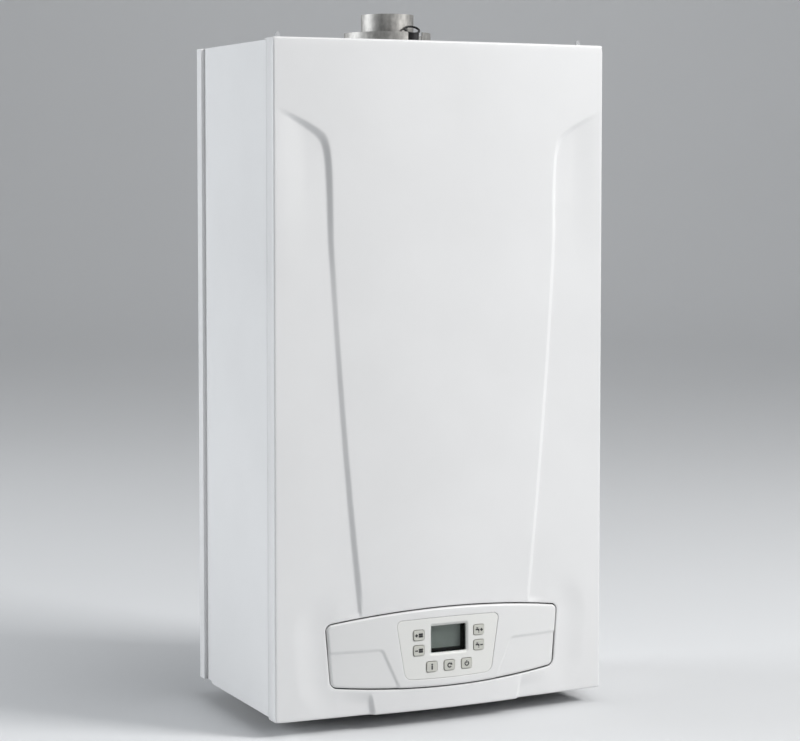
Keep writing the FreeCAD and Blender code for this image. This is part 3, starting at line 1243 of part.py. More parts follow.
def herringbone(low):
    """Rippled sheet whose ridges lean one way on the left and the other way on the right."""
    pitch, thick = size("ripple_pitch"), size("sheet_thick")
    high = size("rim_height") - thick
    reach = size("plate_half_x") + 40
    count = int(2 * reach / pitch)
    along = Vector(0, 1, 0)
    zigzag = []
    for i in range(2 * count + 1):
        zigzag.append((-reach + i * pitch / 2, high if i % 2 else 0))
    lower = [Vector(u, -200, z) for u, z in zigzag]
    upper = [Vector(u, -200, z + thick) for u, z in reversed(zigzag)]
    outline = Part.makePolygon(lower + upper + lower[:1])
    wave = Part.Face(outline).extrude(along * 400)
    halves = []
    for side in (-1, 1):
        turned = wave.copy()
        turned.rotate(Vector(), Vector(0, 0, 1), side * (90 - size("ripple_angle")))
        turned.translate(Vector(0, -size("plate_y"), low))
        window = Part.makeBox(size("plate_half_x"), 120, 10, Vector(0 if side > 0 else -size("plate_half_x"),
                                                                 -size("plate_y") - 60, low - 1))
        halves.append(turned.common(window))
    return halves[0].fuse(halves[1])


def channel_plate(low):
    """One dished channel plate: a turned rim, a rippled floor and four ports."""
    wall, height = size("rim_wall"), size("rim_height")
    rim = plate_blank(0, low, height).cut(plate_blank(-wall, low - 1, height + 2))
    floor = herringbone(low).common(plate_blank(-wall / 2, low - 1, height + 2))
    collars = [c for c in port_cylinders(size("port_radius") + 2, low, height)]
    solid = rim.fuse([floor] + collars)
    return solid.cut(port_cylinders(size("port_radius"), low - 1, height + 2))


def plate_exchanger():
    """Stack of channel plates between two end plates, on four port seals, held by two screws."""
    low, high, end = size("stack_low"), size("stack_high"), size("end_plate")
    count = int(size("channel_count"))
    pitch = (high - low - 2 * end) / count
    first = channel_plate(low + end + (pitch - size("rim_height")) / 2)
    middle = Vector(0, -size("plate_y"), 0)
    plates = []
    for i in range(count):
        each = first.copy()
        if i % 2:
            each.rotate(middle, Vector(0, 0, 1), 180)
        each.translate(Vector(0, 0, pitch * i))
        plates.append(each)
    feature("heat_exchanger_plates", Part.makeCompound(plates))

    bottom = plate_blank(0, low, end)
    for side in (-1, 1):
        x0 = size("plate_half_x") - 6 if side > 0 else -size("plate_half_x") - 16
        bottom = bottom.fuse(Part.makeBox(22, 22, end, Vector(x0, -size("plate_y") - 11, low)))
    holes = port_cylinders(size("port_radius"), low - 1, end + 2)
    holes += [Part.makeCylinder(3.2, end + 2, Vector(side * 103, -size("plate_y"), low - 1))
              for side in (-1, 1)]
    top = plate_blank(0, high - end, end)
    bosses = port_cylinders(size("port_radius") + 1, high, 1.2)
    feature("heat_exchanger_end_plates", Part.makeCompound([bottom.cut(holes), top.fuse(bosses)]))

    seat = size("block_high")
    rings = [outer.cut(inner) for outer, inner in zip(port_cylinders(size("port_radius") + 1.5, seat, low - seat),
                                                      port_cylinders(size("port_radius") - 2, seat - 1, 8))]
    feature("heat_exchanger_seals", Part.makeCompound(rings))
    screws = [hex_screw(side * 103, -size("plate_y"), low + end, 3, 17, 5, 4, False) for side in (-1, 1)]
    feature("heat_exchanger_screws", Part.makeCompound(screws))


def build():
    """Every sub-part in turn."""
    rear_frame()
    hanging_rail()
    top_panel()
    side_panel(-1, "side_panel_left")
    side_panel(1, "side_panel_right")
    hook_pegs()
    front_cover()
    cover_screws()
    console_fascia()
    keypad_plate()
    buttons()
    lcd_pieces()
    control_box()
    control_board()
    console_screws()
    chamber()
    burner_parts()
    electrodes()
    combustion_chamber()
    primary_exchanger()
    flue_hood()
    fan_parts()
    flue_parts()
    pressure_switch()
    water_pipes()
    gas_parts()
    flow_group()
    valve_parts()
    return_group()
    turbine()
    hand_valves()
    pipe_bracket()
    pump()
    expansion_vessel()
    plate_exchanger()


def check():
    """Stop if any object failed or any sub-part has no sound shape."""
    failed = [item.Label for item in doc.Objects if "Invalid" in item.State or "Error" in item.State]
    failed += [item.Label + " shape" for item in PARTS
               if item.Shape.isNull() or not item.Shape.isValid() or not item.Shape.Solids]
    if failed:
        raise RuntimeError("failed: " + ", ".join(failed))


build()
doc.recompute()
check()
os.makedirs("parts", exist_ok=True)
for item in PARTS:
    item.Shape.exportStep(f"parts/{item.Label}.step")
print(len(PARTS), "sub-parts written")
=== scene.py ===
import json
import math

import bmesh
import bpy
import numpy as np
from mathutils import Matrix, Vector

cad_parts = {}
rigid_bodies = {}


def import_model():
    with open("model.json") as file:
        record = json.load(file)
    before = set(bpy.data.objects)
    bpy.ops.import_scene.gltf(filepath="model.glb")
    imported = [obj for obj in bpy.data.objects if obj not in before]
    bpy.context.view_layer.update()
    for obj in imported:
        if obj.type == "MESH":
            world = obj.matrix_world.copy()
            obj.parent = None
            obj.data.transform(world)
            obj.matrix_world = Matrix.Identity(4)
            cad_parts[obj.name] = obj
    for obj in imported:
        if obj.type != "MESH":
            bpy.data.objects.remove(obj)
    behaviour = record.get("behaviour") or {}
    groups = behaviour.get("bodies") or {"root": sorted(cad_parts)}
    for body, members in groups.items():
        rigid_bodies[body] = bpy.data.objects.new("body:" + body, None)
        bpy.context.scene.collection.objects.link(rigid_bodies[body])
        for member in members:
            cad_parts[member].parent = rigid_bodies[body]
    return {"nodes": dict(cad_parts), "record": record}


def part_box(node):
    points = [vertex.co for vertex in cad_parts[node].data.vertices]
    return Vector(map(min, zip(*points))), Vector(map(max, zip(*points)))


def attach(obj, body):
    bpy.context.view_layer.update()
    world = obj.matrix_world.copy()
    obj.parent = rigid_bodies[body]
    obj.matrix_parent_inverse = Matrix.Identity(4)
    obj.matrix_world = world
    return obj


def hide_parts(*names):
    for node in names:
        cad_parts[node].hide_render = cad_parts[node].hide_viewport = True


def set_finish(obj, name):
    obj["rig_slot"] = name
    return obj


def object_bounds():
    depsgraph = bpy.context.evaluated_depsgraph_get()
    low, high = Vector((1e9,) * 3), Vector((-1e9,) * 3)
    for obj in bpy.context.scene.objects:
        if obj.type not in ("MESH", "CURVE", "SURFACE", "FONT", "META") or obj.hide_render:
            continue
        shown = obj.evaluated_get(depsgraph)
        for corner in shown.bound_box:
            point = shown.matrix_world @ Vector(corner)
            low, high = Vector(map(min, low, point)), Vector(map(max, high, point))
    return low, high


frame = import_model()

# Looks of a wall-hung boiler. The surfaces are worked out in millimetres, in the CAD's own frame, and
# their meshes are made in metres. The camera, the floor and the lamps are placed in metres.
CAD_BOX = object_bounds()
NODES = frame["nodes"]
MM = 0.001


# ---------------------------------------------------------------- camera
def camera():
    """Camera in front of the boiler's left side, above its middle and looking slightly down."""
    lens_length, turn, tilt, shift_rows = 99.1, 25.42, 3.5, 60
    image_width, sensor_width, far_limit = 800, 36, 200
    data = bpy.data.cameras.new("camera")
    data.sensor_width = sensor_width
    data.lens = lens_length
    data.shift_y = -shift_rows / image_width
    data.clip_end = far_limit
    item = bpy.data.objects.new("camera", data)
    item.location = (-1.075, -2.381, 0.580)
    item.rotation_euler = (math.radians(90 - tilt), 0, math.radians(-turn))
    bpy.context.scene.collection.objects.link(item)
    bpy.context.scene.camera = item


camera()


# ---------------------------------------------------------------- shape of the front, in millimetres
COVER_LOW, COVER_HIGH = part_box("front_cover")
HALF = COVER_HIGH.x / MM
TOP = COVER_HIGH.z / MM
BOTTOM = COVER_LOW.z / MM
REAR_EDGE = 210         # the returns end this far before the wall
FRONT_PLANE = 230       # the face's side edges stand this far before the wall
EDGE_ROUND = 2.4        # radius of the rounded outer edge
BEVEL_WIDTH, BEVEL_SWELL = 6.8, 1.3
FLARE_TOP, FLARE_SLOPE, FLARE_BLEND = 650.4, 0.47, 13.5
CONSOLE_HALF = 162      # half width at which the console's bow would reach the front plane
GAP = 1.4               # between console and cover
OPENING_LOW, OPENING_HIGH, OPENING_HALF = 14, 116, 150    # a box round the console's opening


def smooth(amount):
    """0 to 1 with soft ends."""
    clipped = np.clip(amount, 0, 1)
    return clipped * clipped * (3 - 2 * clipped)


def down(z):
    """0 at the cover's top edge, 1 at its bottom edge."""
    return (TOP - z) / (TOP - BOTTOM)


def shield_proud(x, z):
    """How far the raised middle of the cover stands before the front plane."""
    bow_at_top, bow_gain = 6, 8.3
    power_at_top, power_drop = 2.5, 0.8
    power = power_at_top - power_drop * down(z)
    return (bow_at_top + bow_gain * down(z)) * (1 - np.abs(x / HALF) ** power)


def side_proud(x, z):
    """How far the areas beside the shield stand before the front plane, hollow under the flare."""
    bow_at_top, bow_gain = 4.4, 3.3
    hollow_depth, hollow_low, hollow_rise, hollow_side, hollow_fade = 2.7, 430, 170, 160, 37
    across = 1 - smooth((np.abs(x) - hollow_side) / hollow_fade)
    hollow = hollow_depth * smooth((z - hollow_low) / hollow_rise) * across
    return (bow_at_top + bow_gain * down(z)) * (1 - (x / HALF) ** 2) - hollow


def console_proud(x, z):
    """How far the console's face stands before the front plane."""
    bow_at_top, bow_gain = 7.7, 8.3
    return (bow_at_top + bow_gain * down(z)) * (1 - (x / CONSOLE_HALF) ** 2)


def bevel_lines(z):
    """Half width at the foot of the shield's bevel, and how far the bevel has turned sideways."""
    base, lean, curve, most = 92.6, 0.128, 7.45e-5, 138.5
    upright = np.minimum(base + lean * z - curve * z * z, most)
    slanted = HALF - (FLARE_TOP - z) / FLARE_SLOPE
    apart = (slanted - upright) / 2
    blend = np.hypot(apart, FLARE_BLEND)
    return (slanted + upright) / 2 + blend, (1 + apart / blend) / 2


def bevel_width(turned):
    """Width of the bevel, a little larger where it turns from upright to slanted."""
    return BEVEL_WIDTH * (1 + BEVEL_SWELL * turned * (1 - turned))


def bevel_share(x, z):
    """0 on the shield, 1 beyond the foot of its bevel."""
    foot, turned = bevel_lines(z)
    away = (np.abs(x) - foot) / np.hypot(1, turned / FLARE_SLOPE)
    return smooth(away / bevel_width(turned) + 1)


def corner_distance(side, upright, corner):
    """Signed distance to a rounded corner, from the distances past its two edges moved in by its radius."""
    outside = np.hypot(np.maximum(side, 0), np.maximum(upright, 0))
    return outside + np.minimum(np.maximum(side, upright), 0) - corner


def arc_distance(x, z, half_chord, end_z, middle_z):
    """Signed distance to a shallow arc through two ends and a middle; positive beyond its bulge."""
    rise = abs(middle_z - end_z)
    radius = (half_chord ** 2 + rise ** 2) / (2 * rise)
    centre = middle_z - math.copysign(radius, middle_z - end_z)
    return np.hypot(x, z - centre) - radius


def outline_distance(x, z, top_half, foot_half, low, high, corner):
    """Signed distance to an outline with bowed top and bottom, slanted sides and round corners.

    low and high are pairs: height at the ends, height in the middle."""
    lean = math.hypot(top_half - foot_half, high[0] - low[0])
    across = (np.abs(x) - foot_half) * (high[0] - low[0]) - (z - low[0]) * (top_half - foot_half)
    side = across / lean + corner
    above, below = arc_distance(x, z, top_half, *high), arc_distance(x, z, foot_half, *low)
    return corner_distance(side, np.maximum(above, below) + corner, corner)


def console_distance(x, z):
    """Signed distance to the console's outline."""
    return outline_distance(x, z, top_half=141.5, foot_half=136, low=(29.4, 21.5),
                            high=(96.5, 107.8), corner=6)


def keypad_distance(x, z):
    """Signed distance to the keypad insert's outline."""
    return outline_distance(x, z, top_half=63, foot_half=52.5, low=(31.6, 30.4),
                            high=(96.4, 97.6), corner=7)


def opening_distance(x, z):
    """Signed distance to the cover's opening; negative inside the opening."""
    return console_distance(x, z) - GAP


def cover_y(x, z):
    """The cover's face. Beside the console it rises or sinks to just below the console's face."""
    sunk_below, sink_reach = 1.2, 40
    low_reach, reach_drop, drop_low, drop_rise = 16, 10, 40, 30
    share = bevel_share(x, z)
    proud = shield_proud(x, z) * (1 - share) + side_proud(x, z) * share
    rise_reach = low_reach - reach_drop * smooth((z - drop_low) / drop_rise)
    lift = console_proud(x, z) - sunk_below - proud
    reach = np.where(lift > 0, rise_reach, sink_reach)
    near = 1 - smooth(opening_distance(x, z) / reach)
    return -(FRONT_PLANE + proud + lift * near)


def recess_depth(x, z):
    """The sunk lower outer corners of the console, with a soft edge."""
    upper, corner, ramp, depth = 67.8, 4.0, 2.0, 1.35
    slant, start, start_level = 0.455, 54.5, 15
    beside = (start + slant * (z - start_level) - np.abs(x)) / math.hypot(1, slant) + corner
    above = z - upper + corner
    return depth * smooth(-corner_distance(beside, above, corner) / ramp)


def fascia_y(x, z):
    """The console's face."""
    return -(FRONT_PLANE + console_proud(x, z)) + recess_depth(x, z)


# ---------------------------------------------------------------- mesh helpers
def new_object(name, vertices, faces, body, slot, replaced=()):
    """A mesh object in metres from points in millimetres, riding on a body."""
    mesh = bpy.data.meshes.new(name)
    mesh.from_pydata([tuple(c * MM for c in v) for v in vertices], [], faces)
    mesh.validate()
    mesh.update()
    return adopt(name, mesh, body, slot, replaced)


def adopt(name, mesh, body, slot, replaced=()):
    """An object for a finished mesh, riding on a body."""
    item = bpy.data.objects.new(name, mesh)
    bpy.context.scene.collection.objects.link(item)
    for face in mesh.polygons:
        face.use_smooth = True
    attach(item, body)
    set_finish(item, slot)
    if replaced:
        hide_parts(*replaced)
    return item


def sheet_mesh(points, quads):
    """An open mesh in metres from points in millimetres, without the points that no face uses."""
    mesh = bmesh.new()
    made = [mesh.verts.new(Vector(point) * MM) for point in points.reshape(-1, 3)]
    for quad in quads:
        mesh.faces.new([made[i] for i in quad])
    bmesh.ops.delete(mesh, geom=[v for v in mesh.verts if not v.link_faces], context="VERTS")
    return mesh


def finished(name, mesh):
    """Mesh data with its faces turned to the front."""
    bmesh.ops.recalc_face_normals(mesh, faces=mesh.faces)
    if sum(face.normal.y * face.calc_area() for face in mesh.faces) > 0:
        bmesh.ops.reverse_faces(mesh, faces=mesh.faces)
    data = bpy.data.meshes.new(name)
    mesh.to_mesh(data)
    mesh.free()
    return data


def gradient(distance, x, z):
    """Direction in which a signed distance grows."""
    step, least_length = 0.05, 1e-6
    gx = (distance(x + step, z) - distance(x - step, z)) / (2 * step)
    gz = (distance(x, z + step) - distance(x, z - step)) / (2 * step)
    length = np.maximum(np.hypot(gx, gz), least_length)
    return gx / length, gz / length


def snapped_grid(x, z, distance, cell):
    """Grid faces on the positive side of a distance, the border moved onto its zero line."""
    snap_share, still_zero = 0.45, 1e-9
    rows, cols = x.shape
    d = distance(x, z)
    gx, gz = gradient(distance, x, z)
    close = np.abs(d) < snap_share * cell
    x, z = np.where(close, x - d * gx, x), np.where(close, z - d * gz, z)
    d = np.where(close, 0.0, d)
    index = np.arange(rows * cols).reshape(rows, cols)
    corners = [index[:-1, :-1], index[:-1, 1:], index[1:, 1:], index[1:, :-1]]
    quads = np.stack(corners, -1).reshape(-1, 4)
    kept = (d.reshape(-1)[quads] >= -still_zero).all(1)
    used, unused = np.zeros(rows * cols, bool), np.zeros(rows * cols, bool)
    used[quads[kept].reshape(-1)] = True
    unused[quads[~kept].reshape(-1)] = True
    border = (used & unused).reshape(rows, cols)
    d = distance(x, z)
    gx, gz = gradient(distance, x, z)
    x, z = np.where(border, x - d * gx, x), np.where(border, z - d * gz, z)
    return x, z, quads[kept]


def grow(mesh, edges):
    """Extrude edges. Gives the new vertices and the new edges that join them."""
    made = bmesh.ops.extrude_edge_only(mesh, edges=edges)["geom"]
    vertices = [item for item in made if isinstance(item, bmesh.types.BMVert)]
    fresh = set(vertices)
    rim = [item for item in made if isinstance(item, bmesh.types.BMEdge)
           and item.verts[0] in fresh and item.verts[1] in fresh]
    return vertices, rim


def origin(vertex, known):
    """The known vertex that a new vertex was extruded from."""
    ends = (end for edge in vertex.link_edges for end in edge.verts if end in known)
    return min(ends, key=lambda end: (end.co - vertex.co).length)


def extrude_border(mesh, edges, profile, distance, surface):
    """Rings of faces grown from border edges.

    Each step of the profile is (how far out, how far in depth), both from the border."""
    base = {}
    for edge in edges:
        for vertex in edge.verts:
            base[vertex] = (vertex.co.x / MM, vertex.co.z / MM)
    for out, sink in profile:
        vertices, edges = grow(mesh, edges)
        moved = {}
        for vertex in vertices:
            x, z = base[origin(vertex, base)]
            gx, gz = gradient(distance, np.array([x]), np.array([z]))
            px, pz = x + out * float(gx[0]), z + out * float(gz[0])
            y = float(surface(np.array([px]), np.array([pz]))[0]) + sink
            moved[vertex] = (x, z)
            vertex.co = Vector((px * MM, y * MM, pz * MM))
        base = moved


def spread(*spans):
    """Levels from several spans of (low, high, step), each joined to the next."""
    levels = [spans[0][0]]
    for low, high, step in spans:
        count = max(1, round((high - low) / step))
        levels += [low + (high - low) * (i + 1) / count for i in range(count)]
    return np.array(levels)


def solidify(item, thickness):
    """Give a sheet its thickness, away from its outer face."""
    tool = item.modifiers.new("thickness", "SOLIDIFY")
    tool.thickness = thickness * MM
    tool.offset = -1
    tool.use_even_offset = False


# ---------------------------------------------------------------- front cover
def cover_columns(z):
    """Half widths of the cover's columns at a level, from the middle out to the rounded edge."""
    wide_columns, bevel_columns, least_margin = 46, 10, 9
    line, turned = (float(value) for value in bevel_lines(z))
    edge = HALF - EDGE_ROUND
    foot = min(line, HALF - least_margin)
    crest = foot - bevel_width(turned) * math.hypot(1, turned / FLARE_SLOPE)
    inner = [crest * i / wide_columns for i in range(wide_columns)]
    bevel = [crest + (foot - crest) * i / bevel_columns for i in range(bevel_columns)]
    outer = [foot + (edge - foot) * i / wide_columns for i in range(wide_columns + 1)]
    return np.array(inner + bevel + outer)


def front_cover():
    """Pressed cover: bowed face with the raised shield, rounded edges, returns and flanges."""
    cell, lip_reach, lip_depth, thickness = 2.2, 0.6, 4.0, 1.0
    curve_low, flare_low, flare_high = 570, 604, 654
    levels = spread((BOTTOM + EDGE_ROUND, OPENING_LOW, 2.6), (OPENING_LOW, OPENING_HIGH, cell),
                    (OPENING_HIGH, curve_low, 7), (curve_low, flare_low, 2.4),
                    (flare_low, flare_high, 0.9), (flare_high, TOP - EDGE_ROUND, 6))
    right = np.array([cover_columns(z) for z in levels])
    x = np.concatenate([-right[:, :0:-1], right], axis=1)
    z = np.repeat(levels[:, None], x.shape[1], axis=1)
    x, z, quads = snapped_grid(x, z, lambda a, b: opening_distance(a, b) - lip_reach, cell)
    mesh = sheet_mesh(np.stack([x, cover_y(x, z), z], -1), quads)
    lines = [edge for edge in mesh.edges if edge.is_boundary]
    hole = [edge for edge in lines if all(at_opening(vertex) for vertex in edge.verts)]
    held = set(hole)
    outer = [edge for edge in lines if edge not in held]
    lip = [(-0.2, 0.12), (-0.45, 0.45), (-lip_reach, 1.0), (-lip_reach, lip_depth)]
    extrude_border(mesh, hole, lip, opening_distance, cover_y)
    flanges(mesh, wrap_outer_edge(mesh, outer))
    data = finished("cover_shell", mesh)
    item = adopt("cover_shell", data, "cover", "white_enamel", ["front_cover"])
    solidify(item, thickness)


def at_opening(vertex):
    """Whether a border vertex belongs to the console's opening."""
    margin = 2
    inside = abs(vertex.co.x) < OPENING_HALF * MM
    return inside and (OPENING_LOW - margin) * MM < vertex.co.z < OPENING_HIGH * MM


def wrap_outer_edge(mesh, edges):
    """Round the cover's outer edge over and run it back as returns and flanges."""
    centres = {}
    for edge in edges:
        for vertex in edge.verts:
            centres[vertex] = tuple(c / MM for c in vertex.co)
    arc_steps, touch = 5, 0.01
    steps = [(EDGE_ROUND * math.sin(a), EDGE_ROUND * (1 - math.cos(a)))
             for a in (math.radians(90 / arc_steps * i) for i in range(1, arc_steps + 1))]
    half_in, top_in, low_in = HALF - EDGE_ROUND, TOP - EDGE_ROUND, BOTTOM + EDGE_ROUND
    for out, sink in steps + [(EDGE_ROUND, None)]:
        vertices, edges = grow(mesh, edges)
        moved = {}
        for vertex in vertices:
            x, y, z = centres[origin(vertex, centres)]
            way_x = math.copysign(1, x) if abs(x) > half_in - touch else 0
            way_z = 1 if z > top_in - touch else -1 if z < low_in + touch else 0
            size = math.hypot(way_x, way_z) or 1
            moved[vertex] = (x, y, z)
            depth = -REAR_EDGE if sink is None else y + sink
            vertex.co = Vector(((x + out * way_x / size) * MM, depth * MM, (z + out * way_z / size) * MM))
        centres = moved
    return edges


def flanges(mesh, edges):
    """Run the top and bottom edges further back, with slots in the top one for the hook pegs."""
    top_rear, low_rear, slot_front, slot_half, flange_half, touch = 190, 192, 206, 3.5, 193.5, 0.01
    slots = [middle_x(side) for side in (-1, 1)]

    def on_row(edge, level):
        return all(abs(v.co.z / MM - level) < touch and abs(v.co.x) < flange_half * MM for v in edge.verts)

    def beside_slots(edge):
        across = (edge.verts[0].co.x + edge.verts[1].co.x) / 2 / MM
        return all(abs(across - slot) > slot_half for slot in slots)

    for level, rear in ((TOP, top_rear), (BOTTOM, low_rear)):
        row = [edge for edge in edges if on_row(edge, level)]
        for depth in (slot_front, rear):
            if level == TOP and depth == rear:
                row = [edge for edge in row if beside_slots(edge)]
            vertices, row = grow(mesh, row)
            for vertex in vertices:
                vertex.co.y = -depth * MM


def middle_x(side):
    """Middle of one hook peg across the boiler; side is -1 or 1."""
    low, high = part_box("hook_pegs")
    peg_foot = 9
    return side * ((high.x - low.x) / 2 / MM - peg_foot / 2)


front_cover()


# ---------------------------------------------------------------- console
def panel_mesh(name, span_x, span_z, cell, distance, surface, profile, extra=()):
    """A moulded panel: a fine grid inside an outline, with a rounded edge and further holes.

    extra holds (distance to a hole, rounding profile) pairs."""
    on_border = 0.2
    inset = profile[0][0]
    x, z = np.meshgrid(spread((*span_x, cell)), spread((*span_z, cell)))

    def inside(a, b):
        result = -(distance(a, b) + inset)
        for hole, hole_profile in extra:
            result = np.minimum(result, hole(a, b) - hole_profile[0][0])
        return result

    x, z, quads = snapped_grid(x, z, inside, cell)
    mesh = sheet_mesh(np.stack([x, surface(x, z), z], -1), quads)
    rings = [(distance, profile, 1)] + [(hole, hole_profile, -1) for hole, hole_profile in extra]
    lines = [e for e in mesh.edges if e.is_boundary]
    for outline, steps, sign in rings:
        near = []
        for edge in lines:
            ends = np.array([[v.co.x / MM, v.co.z / MM] for v in edge.verts])
            gaps = np.abs(sign * outline(ends[:, 0], ends[:, 1]) + steps[0][0])
            if gaps.max() < on_border:
                near.append(edge)
        walk = [(steps[0][0] - reach, sink) for reach, sink in steps[1:]]
        extrude_border(mesh, near, walk, lambda a, b, o=outline, s=sign: s * o(a, b), surface)
    return finished(name, mesh)


def rounding(reach, drop, steps):
    """Elliptic edge profile as (distance left to the outline, sink) pairs, from the face outwards."""
    pairs = []
    for i in range(steps + 1):
        angle = math.radians(90 * i / steps)
        pairs.append((reach * (1 - math.sin(angle)), drop * (1 - math.cos(angle))))
    return pairs


def box_distance(x, z, half_wide, half_tall, corner):
    """Signed distance to a rectangle with round corners about the origin."""
    return corner_distance(np.abs(x) - half_wide + corner, np.abs(z) - half_tall + corner, corner)


def window_distance(x, z):
    """Signed distance to the display's opening."""
    half_wide, half_tall, corner, level = 21.15, 14.7, 0.8, 73.5
    return box_distance(x, z - level, half_wide, half_tall, corner)


def button_distance(centre_x, centre_z):
    """Signed distance to a button's hole in the keypad."""
    wide, tall, corner, play = 12.6, 10.9, 2.9, 0.7

    def distance(x, z):
        return box_distance(x - centre_x, z - centre_z, wide / 2 + play, tall / 2 + play, corner)
    return distance


BUTTONS = sorted(name for name in NODES if name.startswith("button_"))


def middle(node):
    """Middle of a node's box across X and Z, in millimetres."""
    low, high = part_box(node)
    return (low.x + high.x) / 2 / MM, (low.z + high.z) / 2 / MM


def console_shell():
    """Console front with its round edge and the groove round the keypad."""
    cell, skirt_depth, groove_depth, groove_play, thickness = 1.3, 19, 3.0, 0.25, 1.0
    profile = rounding(3.0, 2.4, 7) + [(0, skirt_depth)]
    groove = rounding(0.5, 0.5, 3) + [(0, groove_depth)]
    data = panel_mesh("console_shell", (-142, 142), (20, 109), cell, console_distance, fascia_y, profile,
                      [(lambda a, b: keypad_distance(a, b) - groove_play, groove)])
    shell = adopt("console_shell", data, "boiler", "white_plastic", ["console_fascia"])
    solidify(shell, thickness)


def keypad_shell():
    """Keypad insert with a funnel round the display and a hole for each key."""
    cell, sunk, funnel_depth, funnel_reach, side_depth, window_depth = 0.7, 0.3, 1.7, 3.2, 2.0, 1.2

    def keypad_face(x, z):
        funnel = funnel_depth * smooth(1 - window_distance(x, z) / funnel_reach)
        return -(FRONT_PLANE + console_proud(x, z)) + sunk + funnel

    rim = rounding(0.5, 0.5, 3) + [(0, side_depth)]
    window_rim = rounding(0.25, 0.2, 2) + [(0, window_depth)]
    button_rim = rounding(0.3, 0.2, 2) + [(0, side_depth)]
    holes = [(window_distance, window_rim)]
    holes += [(button_distance(*middle(name)), button_rim) for name in BUTTONS]
    data = panel_mesh("keypad_shell", (-62, 62), (31, 102), cell, keypad_distance, keypad_face, rim, holes)
    adopt("keypad_shell", data, "boiler", "keypad_plastic", ["keypad_plate"])


console_shell()
keypad_shell()


# ---------------------------------------------------------------- printed signs on the keys
def bar(x, z, wide, tall):
    """Rectangle given by its middle and size."""
    return [(x - wide / 2, z - tall / 2), (x + wide / 2, z - tall / 2),
            (x + wide / 2, z + tall / 2), (x - wide / 2, z + tall / 2)]


def disc(x, z, radius, count=16):
    """Round shape."""
    return [(x + radius * math.cos(math.tau * i / count), z + radius * math.sin(math.tau * i / count))
            for i in range(count)]


def sector(radius, wide, first, last, count=14):
    """Part of a ring between two angles in degrees, as a row of small quads."""
    quads = []
    for i in range(count):
        a, b = (math.radians(first + (last - first) * (i + k) / count) for k in (0, 1))
        quads.append([(r * math.cos(t), r * math.sin(t))
                      for r, t in ((radius, a), (radius, b), (radius + wide, b), (radius + wide, a))])
    return quads


def sign_shapes():
    """Flat shapes of each key's sign, in millimetres from the key's middle."""
    plus = [bar(0, 0, 3.4, 1.4), bar(0, 0, 1.4, 3.4)]
    minus = [bar(0, 0, 3.4, 1.4)]
    radiator = [bar(-1.8 + 1.2 * i, 0, 1.0, 4.6) for i in range(4)]
    radiator += [bar(0, 1.3, 5.4, 1.0), bar(0, -1.3, 5.4, 1.0)]
    tap = [bar(-0.3, 0.4, 4.2, 1.5), bar(-0.4, 1.6, 0.9, 1.4), bar(-0.4, 2.3, 2.6, 0.8),
           [(0.9, -1.5), (2.3, -1.5), (2.3, 1.1), (1.2, 1.1), (0.9, 0.4)], disc(1.6, -2.6, 0.65)]

    def moved(shapes, x):
        return [[(a + x, b) for a, b in shape] for shape in shapes]

    return {
        "button_heat_up": moved(plus, -3.1) + moved(radiator, 2.0),
        "button_heat_down": moved(minus, -3.1) + moved(radiator, 2.0),
        "button_water_up": moved(tap, -1.8) + moved(plus, 3.2),
        "button_water_down": moved(tap, -1.8) + moved(minus, 3.2),
        "button_info": [disc(0, 2.6, 1.05), bar(0, -0.8, 1.8, 4.4)],
        "button_reset": sector(1.5, 1.4, 50, 330) + [[(0.7, 0.2), (3.7, 0.5), (2.1, 2.9)]],
        "button_standby": sector(1.6, 1.3, 125, 415) + [bar(0, 1.9, 1.3, 3.0)],
    }


def key_signs():
    """Thin printed sign on each key."""
    ink = 0.06
    for name, shapes in sign_shapes().items():
        x0, z0 = middle(name)
        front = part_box(name)[0].y / MM
        vertices, faces = [], []
        for shape in shapes:
            start, count = len(vertices), len(shape)
            for y in (front - ink, front + ink):
                vertices += [(x0 + x, y, z0 + z) for x, z in shape]
            faces.append([start + i for i in range(count)])
            faces.append([start + count + i for i in reversed(range(count))])
            for i in range(count):
                j = (i + 1) % count
                faces.append([start + j, start + i, start + count + i, start + count + j])
        item = new_object(name.replace("button", "sign"), vertices, faces, name, "black_plastic")
        for face in item.data.polygons:
            face.use_smooth = False


key_signs()


